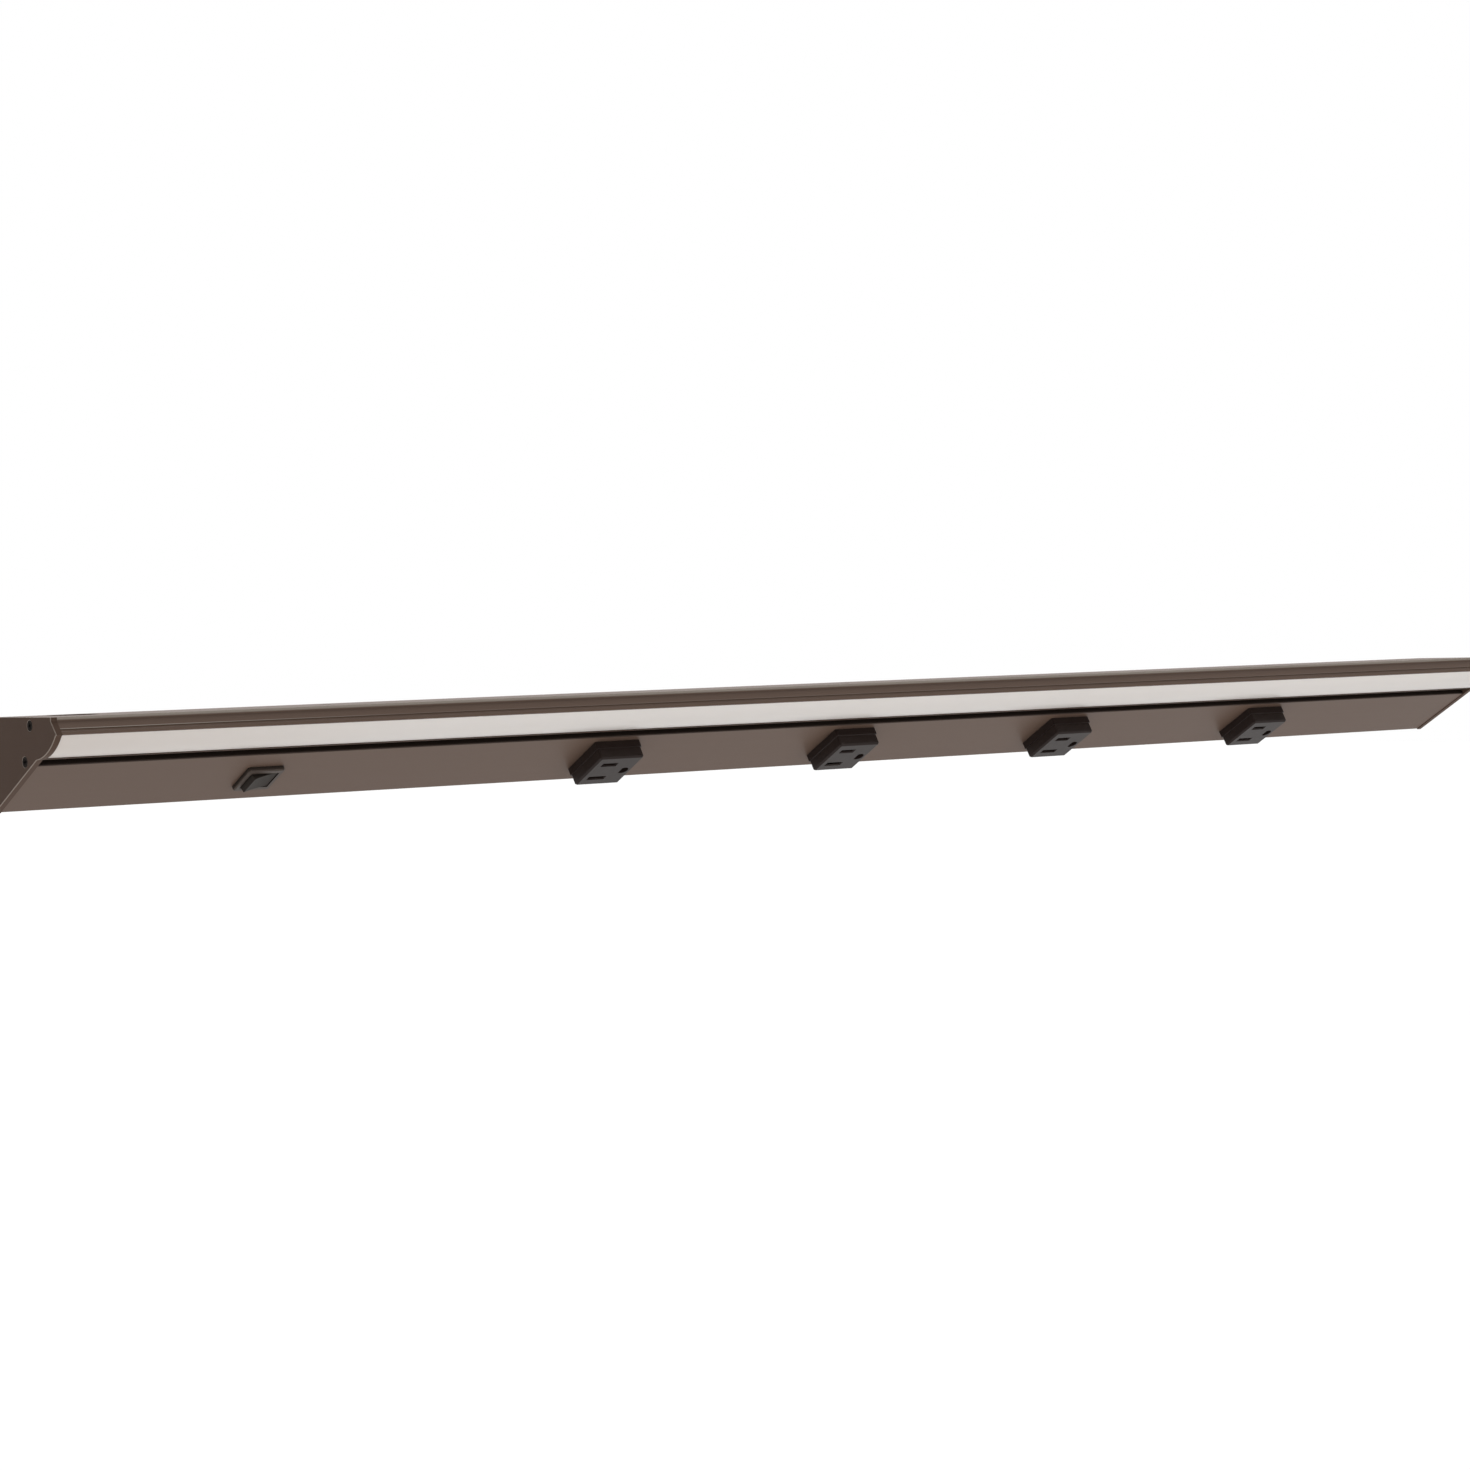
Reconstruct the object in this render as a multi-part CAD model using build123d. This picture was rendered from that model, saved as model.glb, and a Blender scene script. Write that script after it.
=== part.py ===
from build123d import *
import math
import os

# Under cabinet power strip, in millimetres.
# X runs along the strip, -Y is the front, +Y is the wall and Z = 0 is the face that meets the cabinet.
# The origin is the middle mounting hole, in the top face.
# The lower front is one flat face at FACE_ANGLE. Places on it are given as
# along: the distance from the nose, down and back, and deep: the distance into the strip.

# Overall section
LENGTH = 914.4
NOSE_DROP = 7.2
FACE_ANGLE = 30.0
HOLE_LINE_TO_BACK = 25.1
WALL = 1.8
FASCIA_WALL = 1.5
FIT = 0.05
SLIDE_GAP = 0.15

# Fascia above the lens
TOP_SETBACK = 4.6
TOP_EDGE = 1.7
LEDGE_RISE = 2.2
LEDGE_STEP = 0.3

# Lens and its channel
LENS_VIEW = 20.2
LIP = 0.8
LIP_THICK = 0.35
LENS_WALL = 1.25
LENS_TONGUE = 0.5
LENS_BULGE = 2.6
LENS_LEDGE = 1.1

# Groove between the lens and the cover
SHOULDER_WIDTH = 2.5
SHOULDER_DROP = 1.3
GROOVE_GAP = 3.0
HOOK_DEEP = 2.0
HOOK_THICK = 1.1
HOOK_REACH = 1.8
FOOT_THICK = 1.3
WEB_FOOT = 1.0

# Cover with the outlets
COVER_THICK = 2.0
COVER_LEG = 1.15
COVER_NOSE = 0.5
BACK_HOOK_HEIGHT = 5.2
BACK_HOOK_THICK = 1.5
BACK_HOOK_REACH = 0.65
BACK_HOOK_TIP = 1.2
RIDGE = 0.8

# End caps and their screws
CAP_THICK = 3.2
CAP_PROUD = 0.4
CAP_EDGE = 0.25
CAP_SPIGOT = 3.0
CAP_SPIGOT_WALL = 1.3
CAP_SPIGOT_GAP = 0.4
CAP_SPIGOT_RISE = 2.0
CAP_SPIGOT_FLOOR = 1.0
CAP_SPIGOT_CORNER = 2.0
PORT_HALF = 2.35
PORT_BORE = 1.3
SCREW_RADIUS = 1.2
SCREW_LENGTH = 12.0
SCREW_HEAD_RADIUS = 2.3
SCREW_HEAD_SUNK = 0.1
SCREW_HEAD_GAP = 0.15
TOP_PORT_FROM_WEB = 1.9
TOP_PORT_DROP = 3.5
FACE_PORT_DEEP = 4.0
BACK_PORT_RISE = 11.5
BACK_PORT_INSET = 1.5

# Mounting holes and wire entries
MOUNT_SPACING = 304.8
MOUNT_COUNT = 3
MOUNT_RADIUS = 2.5
ENTRY_RADIUS = 11.1
ENTRY_FROM_END = 30.0
ENTRY_DROP = 18.5
KNOCKOUT_SUNK = 0.5

# Lights
BOARD_WIDTH = 11.0
BOARD_THICK = 1.6
BOARD_COUNT = 3
BOARD_GAP = 0.6
BOARD_END_GAP = 2.0
BOARD_RIB = 0.7
BOARD_RIB_LIP = 0.5
LED_LENGTH = 3.5
LED_WIDTH = 2.8
LED_HEIGHT = 0.8
LED_COUNT = 12
CONNECTOR_LENGTH = 9.0
CONNECTOR_WIDTH = 4.0
CONNECTOR_HEIGHT = 6.8

# Outlets
OUTLET_COUNT = 4
FIRST_OUTLET_FROM_END = 310.0
LAST_OUTLET_FROM_END = 162.8
OUTLET_FRONT_MARGIN = 4.2
OUTLET_BACK_MARGIN = 9.6
OUTLET_LENGTH = 26.2
OUTLET_WIDTH = 26.9
OUTLET_PROUD = 9.1
OUTLET_COLLAR = 3.6
OUTLET_STEP = 0.4
OUTLET_CHAMFER = 0.8
OUTLET_CORNER = 1.1
OUTLET_FACE_WALL = 2.5
INNER_LENGTH = 24.2
INNER_WIDTH = 22.0
INNER_DEPTH = 15.0
CUTOUT_GAP = 0.15
CLIP_REACH = 0.9
CLIP_WIDTH = 8.0
CLIP_HEIGHT = 4.0
SLOT_OFFSET = 4.1
SLOT_SPACING = 12.7
SLOT_THICK = 2.4
LINE_SLOT_LENGTH = 8.2
NEUTRAL_SLOT_LENGTH = 9.4
GROUND_OFFSET = 11.9
GROUND_RADIUS = 2.7
GROUND_FLAT = 1.7
SLOT_LEAD = 0.35
POCKET_LENGTH = 11.0
POCKET_WIDTH = 5.2
GROUND_POCKET_LENGTH = 5.9
GROUND_POCKET_WIDTH = 6.6
CONTACT_STRIP = 0.6
LINE_CONTACT_WIDTH = 6.4
NEUTRAL_CONTACT_WIDTH = 8.0
GROUND_CONTACT_WIDTH = 4.6
CONTACT_TOP = 3.0
CONTACT_MOUTH = 3.0
CONTACT_THROAT = 4.0
CONTACT_SIDE_GAP = 0.4
GROUND_SIDE_GAP = 0.3
BLADE_PINCH = 0.6
PIN_PINCH = 1.9
OUTLET_BACK_WIDTH = 17.8
OUTLET_BACK_THICK = 4.2

# Wires
WIRE_RADIUS = 1.4
WIRE_END = 8.0
LEAD_RADIUS = 1.1
LED_LEAD_RADIUS = 0.8
LED_LEAD_PITCH = 2.6

# Terminal block
BLOCK_LENGTH = 26.0
BLOCK_FROM_END = 69.0
BLOCK_WIDTH = 21.0
BLOCK_DEEP = 12.5
BLOCK_FOOT = 2.0
BLOCK_TROUGH = 5.0
BLOCK_RIM = 1.4
BLOCK_SCREW_RADIUS = 1.9
BLOCK_SCREW_SUNK = 1.2
BLOCK_SCREW_HEIGHT = 1.0
SCREW_SLOT_WIDTH = 0.6
SCREW_SLOT_FLOOR = 0.3

# Light driver
DRIVER_LENGTH = 105.0
DRIVER_FROM_END = 12.0
DRIVER_WIDTH = 26.0
DRIVER_HEIGHT = 13.0
DRIVER_LID = 1.6
DRIVER_CORNER = 2.0
DRIVER_FRONT_GAP = 8.0

# Switch
SWITCH_FROM_END = 120.9
SWITCH_FROM_OUTLETS = 2.9
BEZEL_LENGTH = 18.4
BEZEL_WIDTH = 18.2
BEZEL_PROUD = 2.2
BEZEL_CORNER = 0.7
BEZEL_EDGE = 0.5
WINDOW_LENGTH = 14.2
WINDOW_WIDTH = 12.7
SWITCH_BODY_LENGTH = 16.2
SWITCH_BODY_WIDTH = 14.8
SWITCH_BODY_DEPTH = 10.2
SWITCH_BODY_WALL = 1.05
SWITCH_WINDOW_THICK = 4.0
SWITCH_BASE_THICK = 1.8
ROCKER_GAP = 0.25
ROCKER_PROUD = 1.1
ROCKER_TILT = 12.0
ROCKER_TOP_HALF = 6.55
ROCKER_MIDDLE_HALF = 6.85
ROCKER_BOTTOM_HALF = 6.2
ROCKER_DISH = 0.35
PIVOT_HEIGHT = 0.8
PIVOT_RADIUS = 1.0
PIVOT_LENGTH = 1.2
PIVOT_GAP = 0.07
ROCKER_BOTTOM = 3.0
BOSS_WIDTH = 3.8
BOSS_LENGTH = 2.8
BOSS_BORE = 1.2
BOSS_BORE_RISE = 1.0
PLUNGER_RADIUS = 1.1
PLUNGER_TIP = 0.4
PLUNGER_TAPER = 0.9
PLUNGER_GAP = 0.2
LEVER_FROM_FLOOR = 2.2
LEVER_HALF = 5.5
LEVER_WIDTH = 3.0
LEVER_THICK = 0.6
LEVER_TILT = 7.0
FULCRUM_GAP = 0.1
FULCRUM_WIDTH = 0.5
POST_HALF = 1.2
POST_INSET = 0.2
PAD_HALF = 1.1
PAD_HEIGHT = 0.5
PAD_GAP = 0.12
TAB_WIDTH = 4.8
TAB_THICK = 0.8
TAB_REACH = 21.4
TAB_SHIFT = 0.2
TAB_APART = 0.6
PAD_FOOT_THICK = 0.4
PAD_FOOT_SHIFT = 0.6
PAD_FOOT_TRIM = 1.0

# Worked out from the sizes above
SIN = math.sin(math.radians(FACE_ANGLE))
COS = math.cos(math.radians(FACE_ANGLE))
HALF = LENGTH / 2
BODY_HALF = HALF - CAP_THICK
LENS_START = LIP
LENS_END = LENS_START + LENS_VIEW
LENS_DEEP = LIP_THICK + FIT
LEDGE_DEEP = LENS_DEEP + LENS_WALL + FIT
RIB_START = LENS_END + LENS_TONGUE + FIT
SHOULDER_END = LENS_END + LIP_THICK + SHOULDER_WIDTH
COVER_START = SHOULDER_END + GROOVE_GAP
HOOK_END = SHOULDER_END + HOOK_REACH
SHELF_DEEP = HOOK_DEEP + HOOK_THICK + FOOT_THICK + 2 * FIT
FOOT_START = HOOK_END - HOOK_THICK
FACE_PORT_ALONG = COVER_START + COVER_LEG + FIT + PORT_HALF
OUTLET_ALONG = COVER_START + OUTLET_FRONT_MARGIN + OUTLET_WIDTH / 2
SWITCH_ALONG = OUTLET_ALONG + SWITCH_FROM_OUTLETS
FACE_LENGTH = OUTLET_ALONG + OUTLET_WIDTH / 2 + OUTLET_BACK_MARGIN
DEPTH = FACE_LENGTH * COS
HEIGHT = NOSE_DROP + FACE_LENGTH * SIN
BACK_Y = HOLE_LINE_TO_BACK
NOSE_Y = BACK_Y - DEPTH
TOP_FRONT_Y = NOSE_Y + TOP_SETBACK
OUTLET_SPACING = (LENGTH - FIRST_OUTLET_FROM_END - LAST_OUTLET_FROM_END) / (OUTLET_COUNT - 1)
OUTLET_CENTERS = [FIRST_OUTLET_FROM_END - HALF + OUTLET_SPACING * i for i in range(OUTLET_COUNT)]
SWITCH_X = SWITCH_FROM_END - HALF
WIRE_DEEP = INNER_DEPTH + FIT + WIRE_RADIUS
LEVER_DROP = SWITCH_BODY_DEPTH - LEVER_FROM_FLOOR
WIRE_ALONG = {
    "line": OUTLET_ALONG - SLOT_SPACING / 2,
    "ground": OUTLET_ALONG,
    "neutral": OUTLET_ALONG + SLOT_SPACING / 2,
}
BLOCK_X = BLOCK_FROM_END - HALF


def at(along, deep):
    """The (y, z) of a point on the sloping face's grid."""
    return (NOSE_Y + along * COS + deep * SIN, -NOSE_DROP - along * SIN + deep * COS)


def on_face(x, along, deep=0.0):
    """Local frame on the sloping face: x along the strip, y up towards the lens, z outwards."""
    y, z = at(along, deep)
    return Plane(origin=(x, y, z), x_dir=(1, 0, 0), z_dir=(0, -SIN, -COS)).location


def prism(points, x0, x1):
    """A straight run of the section given by points, from x0 to x1."""
    face = make_face(Polyline(*points, close=True))
    return extrude(Plane.YZ.offset(x0) * face, amount=x1 - x0, dir=(1, 0, 0))


def rod(x0, x1, y, z, radius):
    """A round bar along X."""
    return extrude(Plane.YZ.offset(x0) * Pos(y, z) * Circle(radius), amount=x1 - x0, dir=(1, 0, 0))


def block(x0, x1, y0, y1, z0, z1):
    """A plain block between two corners."""
    return Pos((x0 + x1) / 2, (y0 + y1) / 2, (z0 + z1) / 2) * Box(x1 - x0, y1 - y0, z1 - z0)


WEB_Y = at(RIB_START, LEDGE_DEEP)[0]


def ports():
    """Centres of the three screw ports in the section."""
    return [
        (WEB_Y + FASCIA_WALL + TOP_PORT_FROM_WEB, -TOP_PORT_DROP),
        at(FACE_PORT_ALONG, FACE_PORT_DEEP),
        (BACK_Y - WALL - BACK_PORT_INSET, BACK_PORT_RISE - HEIGHT),
    ]


def port_ribs():
    """The square ribs round the top and back screw ports. The middle port is in the shelf."""
    h = PORT_HALF
    top, _, back = ports()
    return [[(y - h, z - h), (y + h, z - h), (y + h, z + h), (y - h, z + h)] for y, z in (top, back)]


def fascia_points():
    """The front outline from the top edge down to the nose, with a fine step above the nose."""
    ledge_z = -NOSE_DROP + LEDGE_RISE
    ledge_y = NOSE_Y + TOP_SETBACK * LEDGE_RISE / (NOSE_DROP - TOP_EDGE)
    return [
        (TOP_FRONT_Y, 0),
        (TOP_FRONT_Y, -TOP_EDGE),
        (ledge_y - LEDGE_STEP, ledge_z),
        (ledge_y, ledge_z),
        (NOSE_Y, -NOSE_DROP),
    ]


def housing_outline():
    """Outside of the housing's section, with the open slanted side closed by straight lines."""
    cover_inside = -NOSE_DROP - (DEPTH * SIN - COVER_THICK - FIT) / COS
    inner_y = BACK_Y - WALL
    foot = cover_inside + WALL * SIN / COS
    port_start, port_end = FACE_PORT_ALONG - PORT_HALF, FACE_PORT_ALONG + PORT_HALF
    port_low, port_high = COVER_THICK + FIT, FACE_PORT_DEEP + PORT_HALF
    return fascia_points() + [
        at(LIP, 0),
        at(LIP, LIP_THICK),
        at(LIP - LENS_TONGUE, LIP_THICK),
        at(LIP - LENS_TONGUE, LEDGE_DEEP),
        at(LIP + LENS_LEDGE, LEDGE_DEEP),
        (TOP_FRONT_Y + FASCIA_WALL, -TOP_EDGE - FASCIA_WALL),
        (TOP_FRONT_Y + FASCIA_WALL, -WALL),
        (WEB_Y, -WALL),
        (WEB_Y, at(RIB_START - LENS_LEDGE, LEDGE_DEEP)[1]),
        at(RIB_START - LENS_LEDGE, LEDGE_DEEP),
        at(RIB_START, LEDGE_DEEP),
        at(RIB_START, LIP_THICK),
        at(LENS_END, LIP_THICK),
        at(LENS_END, 0),
        at(LENS_END + LIP_THICK, 0),
        at(SHOULDER_END, SHOULDER_DROP),
        at(SHOULDER_END, HOOK_DEEP),
        at(HOOK_END, HOOK_DEEP),
        at(HOOK_END, HOOK_DEEP + HOOK_THICK),
        at(FOOT_START, HOOK_DEEP + HOOK_THICK),
        at(FOOT_START, SHELF_DEEP),
        at(port_start, SHELF_DEEP),
        at(port_start, port_low),
        at(port_end, port_low),
        at(port_end, port_high),
        at(port_start, port_high),
        (WEB_Y + FASCIA_WALL, at(port_start, port_high)[1] + WEB_FOOT),
        (WEB_Y + FASCIA_WALL, -WALL),
        (inner_y, -WALL),
        (inner_y, foot + BACK_HOOK_HEIGHT - BACK_HOOK_TIP - FIT),
        (inner_y - RIDGE, foot + BACK_HOOK_HEIGHT - BACK_HOOK_TIP - FIT),
        (inner_y, foot + BACK_HOOK_HEIGHT - BACK_HOOK_TIP - FIT - RIDGE),
        (inner_y, foot),
        (BACK_Y, cover_inside),
        (BACK_Y, 0),
    ]


def board_ribs():
    """The two small ribs that hold the light boards against the top wall."""
    front = TOP_FRONT_Y + FASCIA_WALL + BOARD_RIB
    drop = WALL + BOARD_THICK + 2 * FIT
    ribs = []
    for edge, way in ((front, 1), (front + BOARD_WIDTH + 2 * FIT, -1)):
        outside = edge - way * BOARD_RIB
        lip = edge + way * BOARD_RIB_LIP
        ribs.append([(outside, -WALL), (edge, -WALL), (edge, -drop), (lip, -drop),
                     (lip, -drop - BOARD_RIB), (outside, -drop - BOARD_RIB)])
    return ribs


def make_housing():
    """Extruded housing: top, back, fascia, lens channel, web, shelf, board ribs and screw ports."""
    section = make_face(Polyline(*housing_outline(), close=True))
    for points in board_ribs() + port_ribs():
        section += make_face(Polyline(*points, close=True))
    for y, z in ports():
        section -= Pos(y, z) * Circle(PORT_BORE)
    body = extrude(Plane.YZ.offset(-BODY_HALF) * section, amount=2 * BODY_HALF, dir=(1, 0, 0))
    for i in range(MOUNT_COUNT):
        x = (i - (MOUNT_COUNT - 1) / 2) * MOUNT_SPACING
        body -= Pos(x, 0, -WALL / 2) * Cylinder(MOUNT_RADIUS, 3 * WALL)
    entry = Plane.XZ.offset(-BACK_Y - WALL) * Pos(ENTRY_FROM_END - HALF, -ENTRY_DROP) * Circle(ENTRY_RADIUS)
    body -= extrude(entry, amount=2.5 * WALL, dir=(0, -1, 0))
    body -= Pos(ENTRY_FROM_END - HALF, knockout_y(), 0) * Cylinder(ENTRY_RADIUS, 2 * KNOCKOUT_SUNK)
    first, last = led_lead_places()
    room = LED_LEAD_RADIUS + FIT
    z = led_lead_z()
    return body - block(first - room, last + room, WEB_Y - FASCIA_WALL, driver_front(), z - room, z + room)


def knockout_y():
    """The closed knockout in the top face lies midway between the screw port and the back wall."""
    return (ports()[0][0] + PORT_HALF + BACK_Y - WALL) / 2


def make_cover():
    """Extruded cover that carries the outlets and the switch, hooked at both long edges."""
    start = at(COVER_START, COVER_NOSE)
    bend = at(COVER_START + COVER_NOSE * (1 - math.sqrt(0.5)), COVER_NOSE * (1 - math.sqrt(0.5)))
    rim = at(COVER_START + COVER_NOSE, 0)
    corner = at(FACE_LENGTH, 0)
    inside = COVER_THICK / COS
    hook_y = BACK_Y - WALL - BACK_HOOK_REACH - SLIDE_GAP
    slope = SIN / COS

    def under(y):
        return corner[1] + inside + (BACK_Y - y) * slope

    foot = corner[1] + inside + FIT / COS + WALL * slope
    top = foot + BACK_HOOK_HEIGHT
    edge = BACK_Y - WALL - SLIDE_GAP
    path = [
        rim, corner, (BACK_Y, under(BACK_Y)), (hook_y, under(hook_y)), (hook_y, top - BACK_HOOK_TIP),
        (edge, top - BACK_HOOK_TIP), (edge, top), (hook_y - BACK_HOOK_THICK, top),
        (hook_y - BACK_HOOK_THICK, under(hook_y - BACK_HOOK_THICK)),
        at(COVER_START + COVER_LEG, COVER_THICK),
        at(COVER_START + COVER_LEG, SHELF_DEEP - FIT), at(FOOT_START + FIT, SHELF_DEEP - FIT),
        at(FOOT_START + FIT, SHELF_DEEP - FIT - FOOT_THICK), at(COVER_START, SHELF_DEEP - FIT - FOOT_THICK),
        start,
    ]
    outline = make_face([ThreePointArc(start, bend, rim), Polyline(*path)])
    cover = extrude(Plane.YZ.offset(-BODY_HALF) * outline, amount=2 * BODY_HALF, dir=(1, 0, 0))
    for x in OUTLET_CENTERS:
        cover -= on_face(x, OUTLET_ALONG) * Box(INNER_LENGTH + 2 * CUTOUT_GAP, INNER_WIDTH + 2 * CUTOUT_GAP,
                                                3 * COVER_THICK)
    cover -= on_face(SWITCH_X, SWITCH_ALONG) * Box(SWITCH_BODY_LENGTH + 2 * CUTOUT_GAP,
                                                   SWITCH_BODY_WIDTH + 2 * CUTOUT_GAP, 3 * COVER_THICK)
    return cover


def make_lens():
    """Frosted lens: a shallow convex strip with a tongue on each long edge."""
    left = at(LENS_START + FIT, LENS_DEEP)
    right = at(LENS_END - FIT, LENS_DEEP)
    crown = at((LENS_START + LENS_END) / 2, LENS_DEEP - LENS_BULGE)
    inner_left = at(LENS_START + LENS_LEDGE, LENS_DEEP + LENS_WALL)
    inner_right = at(LENS_END - LENS_LEDGE, LENS_DEEP + LENS_WALL)
    inner_crown = at((LENS_START + LENS_END) / 2, LENS_DEEP + LENS_WALL - LENS_BULGE)
    low = LENS_START - LENS_TONGUE + FIT
    high = LENS_END + LENS_TONGUE - FIT
    outline = make_face([
        ThreePointArc(left, crown, right),
        Polyline(right, at(high, LENS_DEEP), at(high, LENS_DEEP + LENS_WALL), inner_right),
        ThreePointArc(inner_right, inner_crown, inner_left),
        Polyline(inner_left, at(low, LENS_DEEP + LENS_WALL), at(low, LENS_DEEP), left),
    ])
    reach = BODY_HALF - FIT
    return extrude(Plane.YZ.offset(-reach) * outline, amount=2 * reach, dir=(1, 0, 0))


def cap_outline():
    """The end cap's outline: the section, a little proud at the front and along the sloping face."""
    fascia = fascia_points()
    top = (fascia[0][0] - CAP_PROUD, 0)
    upper = (fascia[1][0] - CAP_PROUD, fascia[1][1])
    nose = at(-CAP_PROUD, -CAP_PROUD)
    lens_start = at(LENS_START, -CAP_PROUD)
    lens_end = at(LENS_END, -CAP_PROUD)
    crown = at((LENS_START + LENS_END) / 2, -CAP_PROUD - LENS_BULGE + LENS_DEEP)
    corner = (BACK_Y, at(FACE_LENGTH, 0)[1] - CAP_PROUD / COS)
    return make_face([
        Polyline(lens_end, corner, (BACK_Y, 0), top, upper, nose, lens_start),
        ThreePointArc(lens_start, crown, lens_end),
    ])


def spigot():
    """The rim that locates a cap inside the wiring space."""
    gap = CAP_SPIGOT_GAP
    first_port, face_port, back_port = ports()
    front = first_port[0] + PORT_HALF + gap
    low = face_port[1] + PORT_HALF + CAP_SPIGOT_RISE
    back = BACK_Y - WALL - gap
    floor = back_port[1] + PORT_HALF + CAP_SPIGOT_FLOOR
    points = [(front, -WALL - gap), (front, low), (face_port[0] + PORT_HALF, low),
              (back - CAP_SPIGOT_CORNER, floor), (back, floor), (back, -WALL - gap)]
    outer = make_face(Polyline(*points, close=True))
    return outer - offset(outer, amount=-CAP_SPIGOT_WALL, kind=Kind.INTERSECTION)


def make_cap(side):
    """Moulded end cap, countersunk for its screws; side is -1 at the left end and 1 at the right."""
    inner = side * BODY_HALF
    way = (side, 0, 0)
    cap = extrude(Plane.YZ.offset(inner) * cap_outline(), amount=CAP_THICK, dir=way)
    rim = [e for e in cap.edges().filter_by(lambda e: abs(e.center().X - side * HALF) < 0.001)
           if e.center().Z < -0.01 and e.center().Y < BACK_Y - 0.01]
    cap = chamfer(rim, CAP_EDGE)
    cap += extrude(Plane.YZ.offset(inner) * spigot(), amount=CAP_SPIGOT, dir=(-side, 0, 0))
    for y, z in ports():
        hole = Plane.YZ.offset(inner) * Pos(y, z) * Circle(SCREW_RADIUS + SCREW_HEAD_GAP)
        cap -= extrude(hole, amount=CAP_THICK, dir=way)
        cap -= screw_cone(side, y, z, 0, SCREW_HEAD_GAP)
    return cap


def screw_cone(side, y, z, sunk, gap):
    """A screw's flat head, or the recess for it: a right-angled cone that widens towards the end."""
    height = SCREW_HEAD_RADIUS - SCREW_RADIUS + SCREW_HEAD_SUNK - sunk
    wide = SCREW_RADIUS + height + gap
    middle = Plane(origin=(side * (HALF - sunk - height / 2), y, z), z_dir=(side, 0, 0))
    return middle.location * Cone(SCREW_RADIUS + gap, wide, height)


def make_cap_screws(side):
    """Three screws that hold one end cap."""
    screws = []
    neck = HALF - SCREW_HEAD_SUNK - SCREW_HEAD_RADIUS + SCREW_RADIUS
    for y, z in ports():
        shank = extrude(Plane.YZ.offset(side * neck) * Pos(y, z) * Circle(SCREW_RADIUS),
                        amount=SCREW_LENGTH, dir=(-side, 0, 0))
        screws.append(screw_cone(side, y, z, SCREW_HEAD_SUNK, 0) + shank)
    return Compound(children=screws)


def board_front():
    return TOP_FRONT_Y + FASCIA_WALL + BOARD_RIB + FIT


def board_spans():
    """Start and length of each light board."""
    reach = BODY_HALF - BOARD_END_GAP
    span = (2 * reach - (BOARD_COUNT - 1) * BOARD_GAP) / BOARD_COUNT
    return [(-reach + i * (span + BOARD_GAP), span) for i in range(BOARD_COUNT)]


def make_boards():
    """Light boards, end to end, against the top wall."""
    top = -WALL - FIT
    back = board_front() + BOARD_WIDTH
    return Compound(children=[block(x, x + span, board_front(), back, top - BOARD_THICK, top)
                              for x, span in board_spans()])


def make_leds():
    """Light chips in one row along the boards."""
    middle = board_front() + BOARD_WIDTH / 2
    top = -WALL - FIT - BOARD_THICK
    chips = []
    for x, span in board_spans():
        for i in range(LED_COUNT):
            center = x + span * (i + 0.5) / LED_COUNT
            chips.append(block(center - LED_LENGTH / 2, center + LED_LENGTH / 2, middle - LED_WIDTH / 2,
                               middle + LED_WIDTH / 2, top - LED_HEIGHT, top))
    return Compound(children=chips)


def driver_x0():
    return BODY_HALF - DRIVER_FROM_END - DRIVER_LENGTH


def led_lead_places():
    """X of the two leads from the driver to the light boards."""
    middle = driver_x0() + CONNECTOR_LENGTH
    return [middle - LED_LEAD_PITCH / 2, middle + LED_LEAD_PITCH / 2]


def led_lead_z():
    return -WALL - FIT - BOARD_THICK - CONNECTOR_HEIGHT / 2


def connector_back():
    return board_front() + BOARD_WIDTH - BOARD_RIB_LIP - 2 * FIT


def make_connector():
    """Socket on the last light board where the leads plug in."""
    middle = sum(led_lead_places()) / 2
    top = -WALL - FIT - BOARD_THICK
    return block(middle - CONNECTOR_LENGTH / 2, middle + CONNECTOR_LENGTH / 2,
                 connector_back() - CONNECTOR_WIDTH, connector_back(), top - CONNECTOR_HEIGHT, top)


def driver_front():
    return WEB_Y + FASCIA_WALL + DRIVER_FRONT_GAP


def make_led_leads():
    """Two straight leads through the web, from the driver to the socket."""
    leads = []
    for x in led_lead_places():
        profile = Plane.XZ.offset(-connector_back() - FIT) * Pos(x, led_lead_z()) * Circle(LED_LEAD_RADIUS)
        leads.append(extrude(profile, amount=driver_front() - connector_back() - 2 * FIT, dir=(0, 1, 0)))
    return Compound(children=leads)


def make_driver():
    """Light driver: a moulded tray against the top wall."""
    x0 = driver_x0()
    y0 = driver_front()
    case = block(x0, x0 + DRIVER_LENGTH, y0, y0 + DRIVER_WIDTH, -WALL - FIT - DRIVER_HEIGHT, -WALL - FIT)
    case = chamfer(case.edges().filter_by(Axis.Z), DRIVER_CORNER)
    inside = block(x0 + DRIVER_LID, x0 + DRIVER_LENGTH - DRIVER_LID, y0 + DRIVER_LID,
                   y0 + DRIVER_WIDTH - DRIVER_LID, -WALL - FIT - DRIVER_HEIGHT + DRIVER_LID,
                   -WALL - FIT - DRIVER_LID)
    return case - inside


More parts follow.
